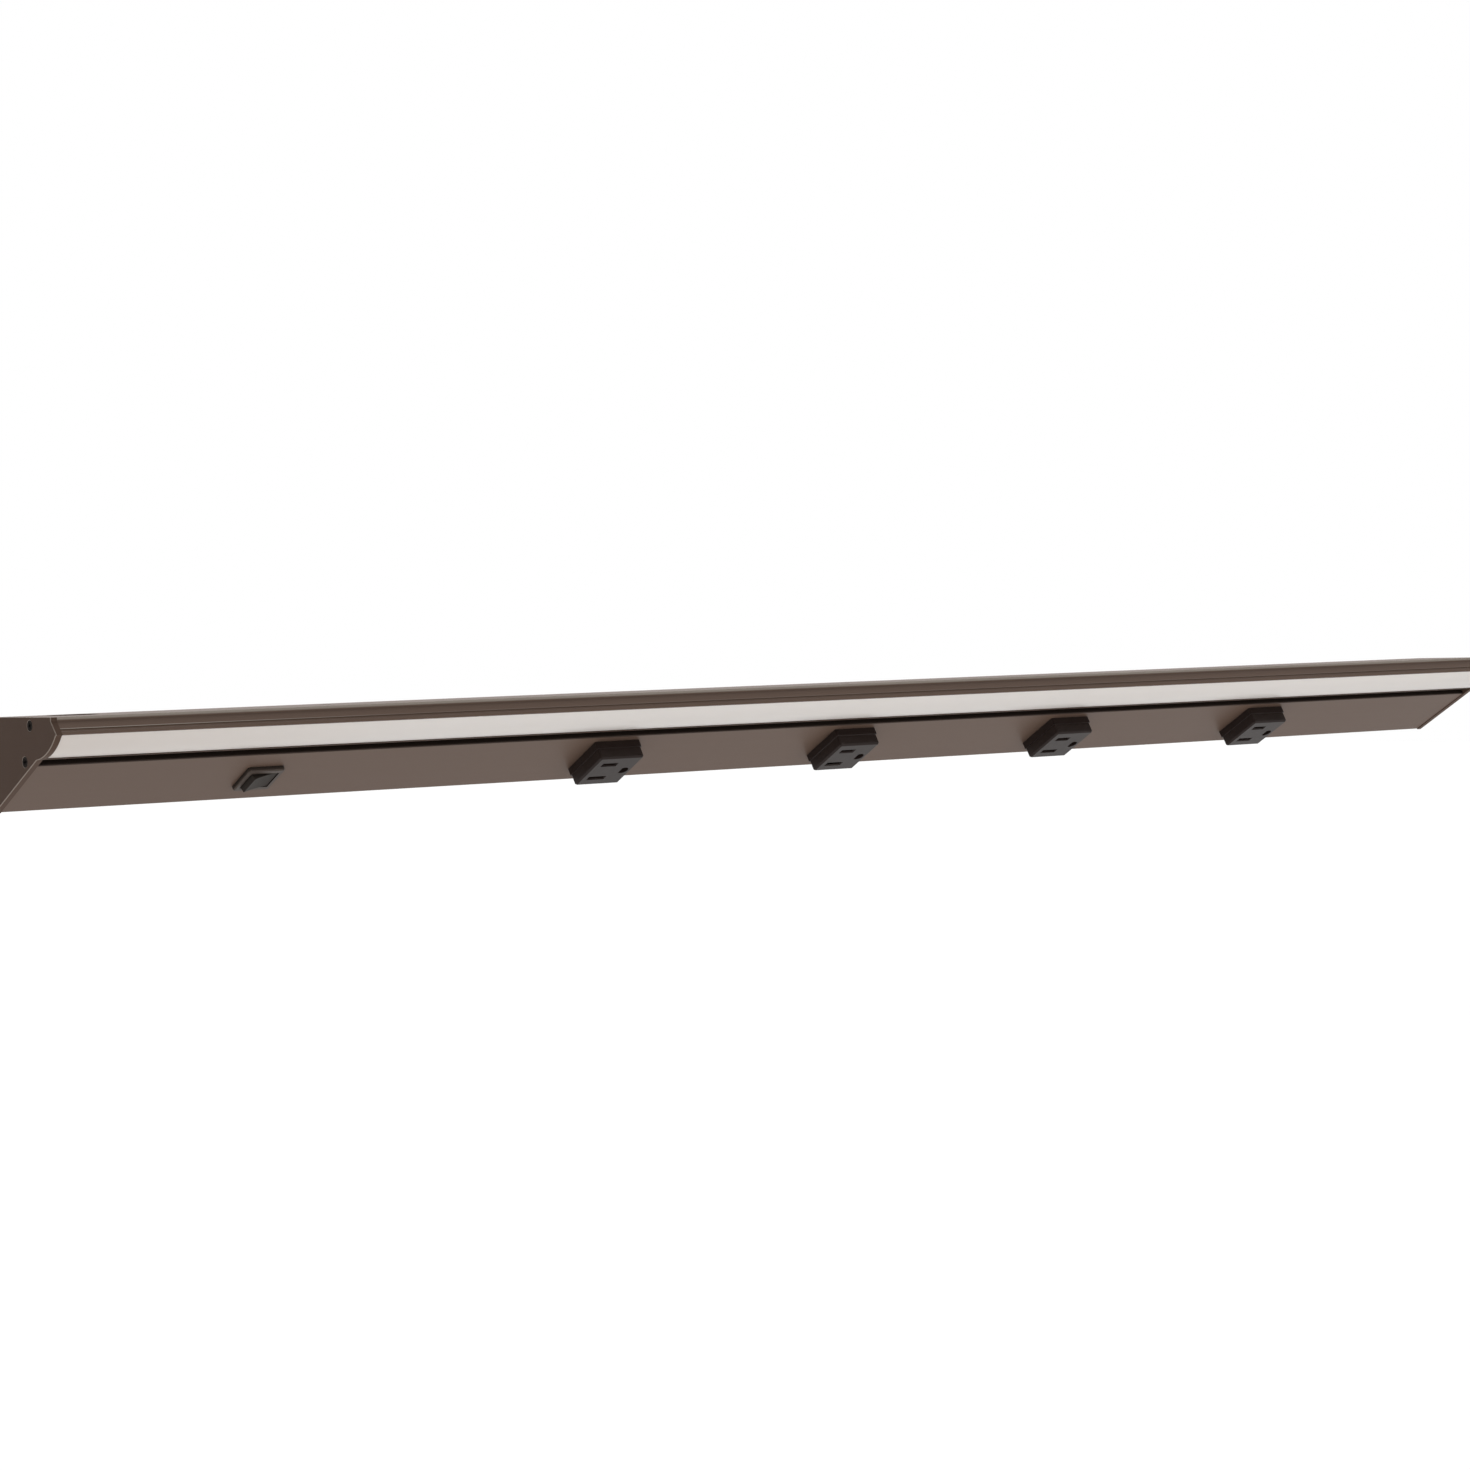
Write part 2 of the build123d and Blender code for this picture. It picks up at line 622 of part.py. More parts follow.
def make_outlet_body():
    """Outlet in its own frame: a stepped block on the cover and a narrower block through it."""
    collar = Pos(0, 0, OUTLET_COLLAR / 2) * Box(OUTLET_LENGTH, OUTLET_WIDTH, OUTLET_COLLAR)
    collar = chamfer(collar.edges().filter_by(Axis.Z), OUTLET_CORNER / 2)
    top = Pos(0, 0, OUTLET_PROUD / 2) * Box(OUTLET_LENGTH - 2 * OUTLET_STEP, OUTLET_WIDTH - 2 * OUTLET_STEP,
                                            OUTLET_PROUD)
    top = fillet(top.edges().filter_by(Axis.Z), OUTLET_CORNER)
    top = chamfer(top.faces().sort_by(Axis.Z)[-1].edges(), OUTLET_CHAMFER)
    inner = Pos(0, 0, -INNER_DEPTH / 2) * Box(INNER_LENGTH, INNER_WIDTH, INNER_DEPTH)
    body = collar + top + inner
    for side in (-1, 1):
        ramp = Polyline((side * INNER_LENGTH / 2, -COVER_THICK - FIT),
                        (side * (INNER_LENGTH / 2 + CLIP_REACH), -COVER_THICK - FIT),
                        (side * INNER_LENGTH / 2, -COVER_THICK - FIT - CLIP_HEIGHT), close=True)
        body += extrude(Plane.XZ * make_face(ramp), amount=CLIP_WIDTH / 2, both=True)
    roof = OUTLET_PROUD - OUTLET_FACE_WALL
    pocket_height = roof + INNER_DEPTH
    middle = roof - pocket_height / 2
    for y, length in ((SLOT_SPACING / 2, LINE_SLOT_LENGTH), (-SLOT_SPACING / 2, NEUTRAL_SLOT_LENGTH)):
        body -= Pos(-SLOT_OFFSET, y, OUTLET_PROUD) * Box(length, SLOT_THICK, 3 * OUTLET_FACE_WALL)
        lead_in = Rectangle(length + 2 * SLOT_LEAD, SLOT_THICK + 2 * SLOT_LEAD)
        body -= extrude(Pos(-SLOT_OFFSET, y, OUTLET_PROUD - SLOT_LEAD) * lead_in, amount=SLOT_LEAD)
        body -= Pos(-SLOT_OFFSET, y, middle) * Box(POCKET_LENGTH, POCKET_WIDTH, pocket_height)
    x = GROUND_OFFSET - SLOT_OFFSET
    body -= extrude(Pos(x, 0, roof) * ground_shape(), amount=2 * OUTLET_FACE_WALL, dir=(0, 0, 1))
    body -= Pos(x, 0, middle) * Box(GROUND_POCKET_LENGTH, GROUND_POCKET_WIDTH, pocket_height)
    return body


def ground_shape():
    """The ground hole: round on the far side and flat towards the slots."""
    side = 2 * GROUND_RADIUS
    return Circle(GROUND_RADIUS) - Pos(-GROUND_FLAT - GROUND_RADIUS, 0) * Rectangle(side, side)


def make_outlet_back():
    """Rear half of an outlet, with a channel for each of the three wires."""
    low = -INNER_DEPTH - OUTLET_BACK_THICK
    back = Pos(0, 0, low + OUTLET_BACK_THICK / 2) * Box(INNER_LENGTH, OUTLET_BACK_WIDTH, OUTLET_BACK_THICK)
    depth = 2 * (WIRE_RADIUS + FIT)
    for i in (-1, 0, 1):
        back -= Pos(0, i * SLOT_SPACING / 2, -INNER_DEPTH - depth / 2) * Box(2 * INNER_LENGTH, depth, depth)
    return back


def make_contact(x, y, half, pinch, width):
    """A bent spring clip: a web on the rear half and two leaves that grip a blade or pin."""
    floor = -INNER_DEPTH
    strip = CONTACT_STRIP
    waist = CONTACT_TOP - CONTACT_MOUTH
    throat = waist - CONTACT_THROAT
    leaf = [(half - strip, floor + strip), (half - strip, throat), (pinch, waist),
            (half - strip, CONTACT_TOP), (half, CONTACT_TOP), (pinch + strip, waist), (half, throat),
            (half, floor)]
    other = [(-a, b) for a, b in reversed(leaf)]
    profile = make_face(Polyline(*(leaf + other), close=True))
    return extrude(Plane.YZ.offset(x - width / 2) * Pos(y, 0) * profile, amount=width, dir=(1, 0, 0))


def make_outlet_contacts():
    """Line, neutral and ground contacts of one outlet."""
    half = POCKET_WIDTH / 2 - CONTACT_SIDE_GAP
    ground_half = GROUND_POCKET_WIDTH / 2 - GROUND_SIDE_GAP
    side = SLOT_SPACING / 2
    ground_x = GROUND_OFFSET - SLOT_OFFSET
    return {
        "line_contact": make_contact(-SLOT_OFFSET, side, half, BLADE_PINCH, LINE_CONTACT_WIDTH),
        "neutral_contact": make_contact(-SLOT_OFFSET, -side, half, BLADE_PINCH, NEUTRAL_CONTACT_WIDTH),
        "ground_contact": make_contact(ground_x, 0, ground_half, PIN_PINCH, GROUND_CONTACT_WIDTH),
    }


def make_wire(name):
    """A straight insulated wire from the terminal block through every outlet."""
    y, z = at(WIRE_ALONG[name], WIRE_DEEP)
    x0 = BLOCK_X + BLOCK_LENGTH / 2 - WIRE_END + FIT
    x1 = OUTLET_CENTERS[-1] + INNER_LENGTH / 2
    return rod(x0, x1, y, z, WIRE_RADIUS)


def make_terminal_block():
    """Three-way terminal block, moulded to fill the corner of the housing."""
    front = OUTLET_ALONG - BLOCK_WIDTH / 2
    back = OUTLET_ALONG + BLOCK_WIDTH / 2
    x0 = BLOCK_X - BLOCK_LENGTH / 2
    x1 = BLOCK_X + BLOCK_LENGTH / 2
    wall = BACK_Y - WALL - FIT
    points = [at(front, BLOCK_DEEP), at(back, BLOCK_DEEP), (wall, at(back, BLOCK_DEEP)[1] + BLOCK_FOOT),
              (wall, -WALL - FIT), (at(front, BLOCK_DEEP)[0], -WALL - FIT)]
    body = prism(points, x0, x1)
    port = WIRE_RADIUS + FIT
    for along in WIRE_ALONG.values():
        y, z = at(along, WIRE_DEEP)
        body -= rod(x1 - WIRE_END, x1 + WIRE_END, y, z, port)
        body -= on_face(x0, along, WIRE_DEEP) * Box(2 * WIRE_END, 2 * port, 2 * port)
    trough = Box(BLOCK_TROUGH, BLOCK_WIDTH - 2 * BLOCK_RIM, 2 * BLOCK_SCREW_SUNK)
    body -= on_face(BLOCK_X, OUTLET_ALONG, BLOCK_DEEP) * trough
    lead_y, lead_z = at(switch_tab_along(), lead_deep())
    body -= rod(x1 - WIRE_END, x1 + WIRE_END, lead_y, lead_z, LEAD_RADIUS + FIT)
    return body


def make_block_screws():
    """The terminal block's three clamping screws."""
    screws = []
    for along in WIRE_ALONG.values():
        seat = on_face(BLOCK_X, along, BLOCK_DEEP + BLOCK_SCREW_SUNK)
        head = Cylinder(BLOCK_SCREW_RADIUS, BLOCK_SCREW_HEIGHT)
        slot = Box(2 * BLOCK_SCREW_RADIUS, SCREW_SLOT_WIDTH, BLOCK_SCREW_HEIGHT)
        screws.append(seat * Pos(0, 0, BLOCK_SCREW_HEIGHT / 2) * (head - Pos(0, 0, SCREW_SLOT_FLOOR) * slot))
    return Compound(children=screws)


def switch_tab_along():
    return SWITCH_ALONG + TAB_SHIFT


def lead_deep():
    return INNER_DEPTH + OUTLET_BACK_THICK + SLIDE_GAP + LEAD_RADIUS


def tab_places():
    """X offsets of the load tab and the line tab from the switch's middle."""
    return (-TAB_WIDTH - TAB_APART, TAB_WIDTH / 2 + TAB_APART)


def make_switch_leads():
    """Two straight leads: terminal block to line tab, and load tab to driver."""
    y, z = at(switch_tab_along(), lead_deep())
    load, line = tab_places()
    left = SWITCH_X + load - TAB_WIDTH / 2 - FIT
    right = SWITCH_X + line + TAB_WIDTH / 2 + FIT
    x0 = BLOCK_X + BLOCK_LENGTH / 2 - WIRE_END + FIT
    runs = ((x0, left), (right, driver_x0() - FIT))
    return Compound(children=[rod(start, end, y, z, LEAD_RADIUS) for start, end in runs])


def make_switch_body():
    """Switch shell in its own frame: a bezel on the cover and a box through it."""
    bezel = Pos(0, 0, BEZEL_PROUD / 2) * Box(BEZEL_LENGTH, BEZEL_WIDTH, BEZEL_PROUD)
    bezel = chamfer(bezel.edges().filter_by(Axis.Z), BEZEL_CORNER)
    bezel = chamfer(bezel.faces().sort_by(Axis.Z)[-1].edges(), BEZEL_EDGE)
    box = Pos(0, 0, -SWITCH_BODY_DEPTH / 2) * Box(SWITCH_BODY_LENGTH, SWITCH_BODY_WIDTH, SWITCH_BODY_DEPTH)
    body = bezel + box
    body -= Box(WINDOW_LENGTH, WINDOW_WIDTH, 4 * SWITCH_BODY_DEPTH)
    floor = SWITCH_BODY_DEPTH - SWITCH_WINDOW_THICK + BEZEL_PROUD
    body -= Pos(0, 0, -SWITCH_BODY_DEPTH + floor / 2) * Box(
        SWITCH_BODY_LENGTH - 2 * SWITCH_BODY_WALL, SWITCH_BODY_WIDTH - 2 * SWITCH_BODY_WALL, floor)
    reach = WINDOW_WIDTH / 2 + PIVOT_LENGTH
    pin = Pos(0, 0, PIVOT_HEIGHT) * Rot(90, 0, 0) * Cylinder(PIVOT_RADIUS + PIVOT_GAP, 2 * reach)
    return body - pin


def make_switch_base():
    """Floor of the switch, which carries both terminals."""
    low = -SWITCH_BODY_DEPTH - SWITCH_BASE_THICK
    middle = low + SWITCH_BASE_THICK / 2
    base = Pos(0, 0, middle) * Box(SWITCH_BODY_LENGTH, SWITCH_BODY_WIDTH, SWITCH_BASE_THICK)
    for x in tab_places():
        base -= Pos(x, -TAB_SHIFT, low) * Box(TAB_WIDTH + 2 * FIT, TAB_THICK + 2 * FIT, 4 * SWITCH_BASE_THICK)
    return base


def rocker_turn(angle):
    """Turn about the rocker's pivot; a positive angle lifts the end at -X."""
    return Pos(0, 0, PIVOT_HEIGHT) * Rot(0, angle, 0) * Pos(0, 0, -PIVOT_HEIGHT)


def make_rocker():
    """Rocker in the middle of its travel: dished paddle, pivot pins and plunger boss."""
    top = BEZEL_PROUD + ROCKER_PROUD
    bottom = PIVOT_HEIGHT - ROCKER_BOTTOM
    dish = ThreePointArc((ROCKER_TOP_HALF, top), (0, top - ROCKER_DISH), (-ROCKER_TOP_HALF, top))
    sides = Polyline((-ROCKER_TOP_HALF, top), (-ROCKER_MIDDLE_HALF, PIVOT_HEIGHT),
                     (-ROCKER_BOTTOM_HALF, bottom), (ROCKER_BOTTOM_HALF, bottom),
                     (ROCKER_MIDDLE_HALF, PIVOT_HEIGHT), (ROCKER_TOP_HALF, top))
    half = WINDOW_WIDTH / 2 - ROCKER_GAP
    paddle = extrude(Plane.XZ * make_face([dish, sides]), amount=half, both=True)
    pins = Pos(0, 0, PIVOT_HEIGHT) * Rot(90, 0, 0) * Cylinder(PIVOT_RADIUS, 2 * (half + PIVOT_LENGTH))
    boss = Pos(0, 0, bottom - BOSS_LENGTH / 2) * Box(BOSS_WIDTH, BOSS_WIDTH, BOSS_LENGTH)
    bore_length = BOSS_LENGTH + BOSS_BORE_RISE
    bore = Pos(0, 0, bottom - BOSS_LENGTH + bore_length / 2) * Cylinder(BOSS_BORE, bore_length)
    return paddle + pins + boss - bore


def plunger_tip():
    """Lowest point of the plunger, just clear of the lever in the middle of the travel."""
    return -LEVER_DROP + LEVER_THICK + FULCRUM_GAP + PLUNGER_GAP


def make_plunger():
    """Pin with a tapered tip that slides in the rocker's boss."""
    top = PIVOT_HEIGHT - ROCKER_BOTTOM + BOSS_BORE_RISE - FIT
    tip = plunger_tip()
    section = Polyline((0, tip), (PLUNGER_TIP, tip), (PLUNGER_RADIUS, tip + PLUNGER_TAPER),
                       (PLUNGER_RADIUS, top), (0, top), close=True)
    return revolve(Plane.XZ * make_face(section), Axis.Z)


def lever_turn(angle):
    """Turn about the lever's fulcrum."""
    return Pos(0, 0, -LEVER_DROP) * Rot(0, angle, 0) * Pos(0, 0, LEVER_DROP)


def make_lever():
    """Contact lever in the middle of its travel, with a contact pad under its -X end."""
    low = -LEVER_DROP + FULCRUM_GAP
    strip = Pos(0, 0, low + LEVER_THICK / 2) * Box(2 * LEVER_HALF, LEVER_WIDTH, LEVER_THICK)
    pad = Pos(PAD_HALF - LEVER_HALF, 0, low - PAD_HEIGHT / 2) * Box(2 * PAD_HALF, 2 * PAD_HALF, PAD_HEIGHT)
    return strip + pad


def make_line_terminal():
    """Terminal that carries the lever: a tab, a foot on the base and a post with a narrow top."""
    x = tab_places()[1]
    floor = -SWITCH_BODY_DEPTH
    foot = Pos(x / 2, -TAB_SHIFT, floor + TAB_THICK / 2) * Box(x + TAB_WIDTH, LEVER_WIDTH, TAB_THICK)
    post = make_face(Polyline((-POST_HALF, floor), (POST_HALF, floor), (FULCRUM_WIDTH / 2, -LEVER_DROP),
                              (-FULCRUM_WIDTH / 2, -LEVER_DROP), close=True))
    height = TAB_REACH - SWITCH_BODY_DEPTH
    tab = Pos(x, -TAB_SHIFT, floor - height / 2) * Box(TAB_WIDTH, TAB_THICK, height)
    return foot + extrude(Plane.XZ * post, amount=LEVER_WIDTH / 2 - POST_INSET, both=True) + tab


def make_load_terminal():
    """Terminal with the fixed contact under the lever's -X end."""
    x = tab_places()[0]
    floor = -SWITCH_BODY_DEPTH
    drop = LEVER_HALF * math.sin(math.radians(LEVER_TILT))
    top = -LEVER_DROP + FULCRUM_GAP - PAD_HEIGHT - drop - PAD_GAP
    pad = Pos(PAD_HALF - LEVER_HALF, 0, (top + floor) / 2) * Box(2 * PAD_HALF, 2 * PAD_HALF, top - floor)
    foot = Pos(x + PAD_FOOT_SHIFT, -TAB_SHIFT, floor + PAD_FOOT_THICK / 2) * Box(
        TAB_WIDTH - PAD_FOOT_TRIM, LEVER_WIDTH, PAD_FOOT_THICK)
    height = TAB_REACH - SWITCH_BODY_DEPTH
    tab = Pos(x, -TAB_SHIFT, floor - height / 2) * Box(TAB_WIDTH, TAB_THICK, height)
    return pad + foot + tab


def make_parts():
    """Every node of the strip, by name."""
    parts = {
        "housing": make_housing(),
        "cover": make_cover(),
        "lens": make_lens(),
        "end_cap_left": make_cap(-1),
        "end_cap_right": make_cap(1),
        "end_cap_screws_left": make_cap_screws(-1),
        "end_cap_screws_right": make_cap_screws(1),
        "led_boards": make_boards(),
        "led_chips": make_leds(),
        "led_connector": make_connector(),
        "led_leads": make_led_leads(),
        "led_driver": make_driver(),
        "terminal_block": make_terminal_block(),
        "terminal_screws": make_block_screws(),
        "switch_leads": make_switch_leads(),
    }
    for name in WIRE_ALONG:
        parts[name + "_wire"] = make_wire(name)
    outlet = {"body": make_outlet_body(), "back": make_outlet_back()}
    outlet.update(make_outlet_contacts())
    for i, x in enumerate(OUTLET_CENTERS):
        for name, piece in outlet.items():
            parts[f"outlet_{i + 1}_{name}"] = on_face(x, OUTLET_ALONG) * piece
    switch = {
        "switch_body": make_switch_body(),
        "switch_base": make_switch_base(),
        "switch_rocker": rocker_turn(ROCKER_TILT) * make_rocker(),
        "switch_plunger": rocker_turn(ROCKER_TILT) * make_plunger(),
        "switch_lever": lever_turn(-LEVER_TILT) * make_lever(),
        "switch_line_terminal": make_line_terminal(),
        "switch_load_terminal": make_load_terminal(),
    }
    for name, piece in switch.items():
        parts[name] = on_face(SWITCH_X, SWITCH_ALONG) * piece
    return parts


os.makedirs("parts", exist_ok=True)
for node, solid in make_parts().items():
    export_step(solid, f"parts/{node}.step")
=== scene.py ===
import math

import bmesh
import bpy
from mathutils import Matrix, Vector


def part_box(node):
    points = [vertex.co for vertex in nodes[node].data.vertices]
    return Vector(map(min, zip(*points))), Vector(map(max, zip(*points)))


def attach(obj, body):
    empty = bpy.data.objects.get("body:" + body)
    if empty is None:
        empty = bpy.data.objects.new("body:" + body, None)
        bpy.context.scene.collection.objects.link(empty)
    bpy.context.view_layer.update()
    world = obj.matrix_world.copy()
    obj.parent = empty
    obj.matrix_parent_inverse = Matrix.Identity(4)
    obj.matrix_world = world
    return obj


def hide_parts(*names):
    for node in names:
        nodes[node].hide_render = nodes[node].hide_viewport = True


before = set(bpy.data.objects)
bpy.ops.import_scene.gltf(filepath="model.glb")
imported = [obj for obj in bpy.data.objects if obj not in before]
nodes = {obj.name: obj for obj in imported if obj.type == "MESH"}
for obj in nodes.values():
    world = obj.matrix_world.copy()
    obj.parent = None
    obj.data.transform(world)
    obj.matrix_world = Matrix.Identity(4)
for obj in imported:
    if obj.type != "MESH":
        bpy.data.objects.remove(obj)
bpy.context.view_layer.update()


# Housing and cover
# Two aluminium extrusions, sawn to length and powder coated a satin bronze brown. The cover hooks into
# the housing along both long edges, and three screws through the housing's top hold it to the cabinet.

MM = 0.001
MICRON = 0.000001


class Signal:
    """A socket and the node tree it is in, so that shader maths is written as sums and products."""

    def __init__(self, home, socket):
        self.home = home
        self.socket = socket

    def maths(self, operation, *values):
        return self.home.node("ShaderNodeMath", {"operation": operation}, dict(enumerate(values)))

    def __add__(self, other):
        return self.maths("ADD", self, other)

    def __radd__(self, other):
        return self.maths("ADD", other, self)

    def __sub__(self, other):
        return self.maths("SUBTRACT", self, other)

    def __rsub__(self, other):
        return self.maths("SUBTRACT", other, self)

    def __mul__(self, other):
        return self.maths("MULTIPLY", self, other)

    def __rmul__(self, other):
        return self.maths("MULTIPLY", other, self)

    def __truediv__(self, other):
        return self.maths("DIVIDE", self, other)

    def __gt__(self, other):
        return self.maths("GREATER_THAN", self, other)

    def __lt__(self, other):
        return self.maths("LESS_THAN", self, other)

    def wave(self, pitch):
        """Rises and falls between 0 and 1 once in each pitch."""
        return self.maths("SINE", self * (2 * math.pi / pitch)) * 0.5 + 0.5

    def absolute(self):
        return self.maths("ABSOLUTE", self)

    def clamped(self):
        return self.home.node("ShaderNodeClamp", {}, {"Value": self})


class NodeTree:
    """The nodes of one material, or of the world."""

    def __init__(self, tree):
        self.tree = tree

    def join(self, value, socket):
        """Links a signal to a socket, or sets the socket's own value."""
        if isinstance(value, Signal):
            self.tree.links.new(value.socket, socket)
        else:
            socket.default_value = value

    def node(self, kind, settings=None, inputs=None, output=0):
        """A node of this kind, with its settings made first and then its sockets filled."""
        made = self.tree.nodes.new(kind)
        for name, value in (settings or {}).items():
            setattr(made, name, value)
        for name, value in (inputs or {}).items():
            self.join(value, made.inputs[name])
        return Signal(self, made.outputs[output])


class Finish(NodeTree):
    """One material: a principled shader and the nodes that feed it."""

    def __init__(self, name, **values):
        self.material = bpy.data.materials.new(name)
        self.material.use_nodes = True
        super().__init__(self.material.node_tree)
        self.shader = self.tree.nodes["Principled BSDF"]
        self.set(**values)

    def set(self, **values):
        """Puts values or signals on the shader's own sockets, such as coat_weight for Coat Weight."""
        names = {socket.name.lower().replace(" ", "_"): socket for socket in reversed(self.shader.inputs)}
        for name, value in values.items():
            self.join(value, names[name])

    def place(self, stretch=(1.0, 1.0, 1.0)):
        """Object coordinates, scaled along each axis to stretch a pattern."""
        where = self.node("ShaderNodeTexCoord", output="Object")
        return self.node("ShaderNodeMapping", {}, {"Vector": where, "Scale": stretch})

    def along(self, axis):
        """One object coordinate, in metres."""
        return self.node("ShaderNodeSeparateXYZ", {}, {"Vector": self.place()}, output="XYZ".index(axis))

    def noise(self, size, detail=2.0, stretch=(1.0, 1.0, 1.0)):
        """Soft noise with patches about this size, in metres, from 0 to 1."""
        inputs = {"Vector": self.place(stretch), "Scale": 1.0 / size, "Detail": detail}
        return self.node("ShaderNodeTexNoise", {"normalize": True}, inputs)

    def flecks(self, size, share):
        """1 in a random share of small cells, and 0 elsewhere."""
        inputs = {"Vector": self.place(), "Scale": 1.0 / size}
        cells = self.node("ShaderNodeTexVoronoi", {"feature": "F1"}, inputs, output="Color")
        return self.node("ShaderNodeSeparateColor", {}, {"Color": cells}) > 1.0 - share

    def corners(self, reach, gain, start):
        """Painted shade in corners that close in within this reach, from 0 in the open to 1."""
        inputs = {"Distance": reach}
        light = self.node("ShaderNodeAmbientOcclusion", {"samples": 6}, inputs, output="AO")
        return ((1.0 - light) * gain - start).clamped()

    def mix(self, factor, low, high):
        """A colour between low and high, each a colour or a signal."""
        low, high = [c if isinstance(c, Signal) else (*c, 1.0) for c in (low, high)]
        # A Mix node has its colours at sockets 6 and 7, and the mixed colour at output 2.
        return self.node("ShaderNodeMix", {"data_type": "RGBA"}, {0: factor, 6: low, 7: high}, output=2)

    def relief(self, height, depth, edge=0.0):
        """Bump as deep as depth, in metres, over edges softened to a radius."""
        inputs = {"Height": height, "Distance": depth, "Strength": 1.0}
        if edge:
            inputs["Normal"] = self.node("ShaderNodeBevel", {"samples": 4}, {"Radius": edge})
        self.set(normal=self.node("ShaderNodeBump", {}, inputs))

    def on(self, *names):
        """Puts the finish on CAD nodes."""
        for name in names:
            for held in nodes[name].material_slots:
                held.material = self.material


BRONZE = (0.104, 0.067, 0.049)
BRONZE_THIN = (0.118, 0.078, 0.058)
# Painted shade for the coat in its corners and in the groove below the lens.
COAT_PAINTED_SHADE = (0.012, 0.008, 0.006)
# Painted highlight for the top front rim and the edge of the fascia's step.
COAT_PAINTED_HIGHLIGHT = (0.315, 0.272, 0.232)
FACE_ANGLE = math.radians(30.0)
NOSE_DROP = 7.2 * MM
STEP_DROP = 5.0 * MM
FRONT_DEPTH = 5.0 * MM
GROOVE_START = 21.4 * MM
COVER_LIP = 27.35 * MM
LIP_DROP = 14.4 * MM
LIP_PAINTED_SHADE = 0.7
RIM_DROP = 1.35 * MM
RIM_FADE = 0.6 * MM
STEP_EDGE = 0.34 * MM
STEP_EDGE_FOOT = 0.01 * MM
HIGHLIGHT_FROM = 0.28
HIGHLIGHT_FADE = 0.12
COAT_EDGE_ROUND = 0.12 * MM
front_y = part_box("housing")[0].y

bronze = Finish("bronze_powder_coat", specular_ior_level=0.12)
peel = bronze.noise(1.1 * MM, 3.0)
drift = bronze.noise(70 * MM)
drawn = bronze.noise(0.5 * MM, stretch=(0.01, 1.0, 1.0))
height, outwards = bronze.along("Z"), bronze.along("Y")
front = outwards < front_y + FRONT_DEPTH
# Painted highlight: a pale band along the top front edge, and a thin pale line along the fascia's step that
# fades out away from the left end.
rim = ((height + RIM_DROP) / RIM_FADE).clamped() * front
step_highlight = (height > STEP_EDGE_FOOT - STEP_DROP) * (height < STEP_EDGE - STEP_DROP) * front
highlight_towards_left = ((-1.0 * bronze.along("X") - HIGHLIGHT_FROM) / HIGHLIGHT_FADE).clamped()
down_face = (outwards - front_y) * math.cos(FACE_ANGLE) - (height + NOSE_DROP) * math.sin(FACE_ANGLE)
# Painted shade: the groove below the lens, and corners and hollows away from the front, are darkened as if
# in shadow.
lip = (down_face > GROOVE_START) * (down_face < COVER_LIP) * (height < -LIP_DROP)
shade = bronze.corners(5 * MM, 1.3, 0.35) * (1.0 - 0.9 * front) + LIP_PAINTED_SHADE * lip
painted_highlight = rim * (0.85 + 0.15 * peel) + step_highlight * (0.15 + 0.60 * highlight_towards_left)
coat = bronze.mix(drift * 0.6 + bronze.flecks(0.2 * MM, 0.05) * 0.4, BRONZE, BRONZE_THIN)
# Painted shade, then painted highlight, laid over the coat's own tones.
coat = bronze.mix(shade.clamped(), coat, COAT_PAINTED_SHADE)
coat = bronze.mix(painted_highlight, coat, COAT_PAINTED_HIGHLIGHT)
bronze.set(base_color=coat, roughness=0.40 + 0.05 * drift + 0.05 * drawn)
bronze.relief(peel + 0.35 * drawn, 7 * MICRON, COAT_EDGE_ROUND)
bronze.on("housing", "cover")


# Lens
# A milky strip of extruded plastic, bowed outwards. It slides into two grooves of the housing from the
# end and spreads the light of the boards behind it.

LENS_START = 0.85 * MM
LENS_END = 20.95 * MM
LENS_DEEP = 0.4 * MM
LENS_BULGE = 2.6 * MM
LENS_WALL = 1.25 * MM
LENS_TONGUE = 0.45 * MM
LENS_STEPS = 40
SHARP_ANGLE = math.radians(30.0)
SAME_PLACE = 0.001 * MM


def on_slope(along, deep, x=0.0):
    """The point this far down the sloping face from the nose, and this deep in the strip."""
    sin, cos = math.sin(FACE_ANGLE), math.cos(FACE_ANGLE)
    return Vector((x, front_y + along * cos + deep * sin, -NOSE_DROP - along * sin + deep * cos))


def verts_of(parts):
    """The vertices in what an operator gives back."""
    return [part for part in parts if isinstance(part, bmesh.types.BMVert)]


def edges_of(parts):
    """The edges in what an operator gives back."""
    return [part for part in parts if isinstance(part, bmesh.types.BMEdge)]


def finished(name, mesh, finish, body, slot, *replaced):
    """Makes a piece of a bmesh, rounded in look where its faces nearly line up."""
    data = bpy.data.meshes.new(name)
    mesh.to_mesh(data)
    mesh.free()
    data.materials.append(finish.material)
    data.shade_smooth()
    data.set_sharp_from_angle(angle=SHARP_ANGLE)
    made = bpy.data.objects.new(name, data)
    bpy.context.collection.objects.link(made)
    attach(made, body)
    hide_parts(*replaced)
    return made


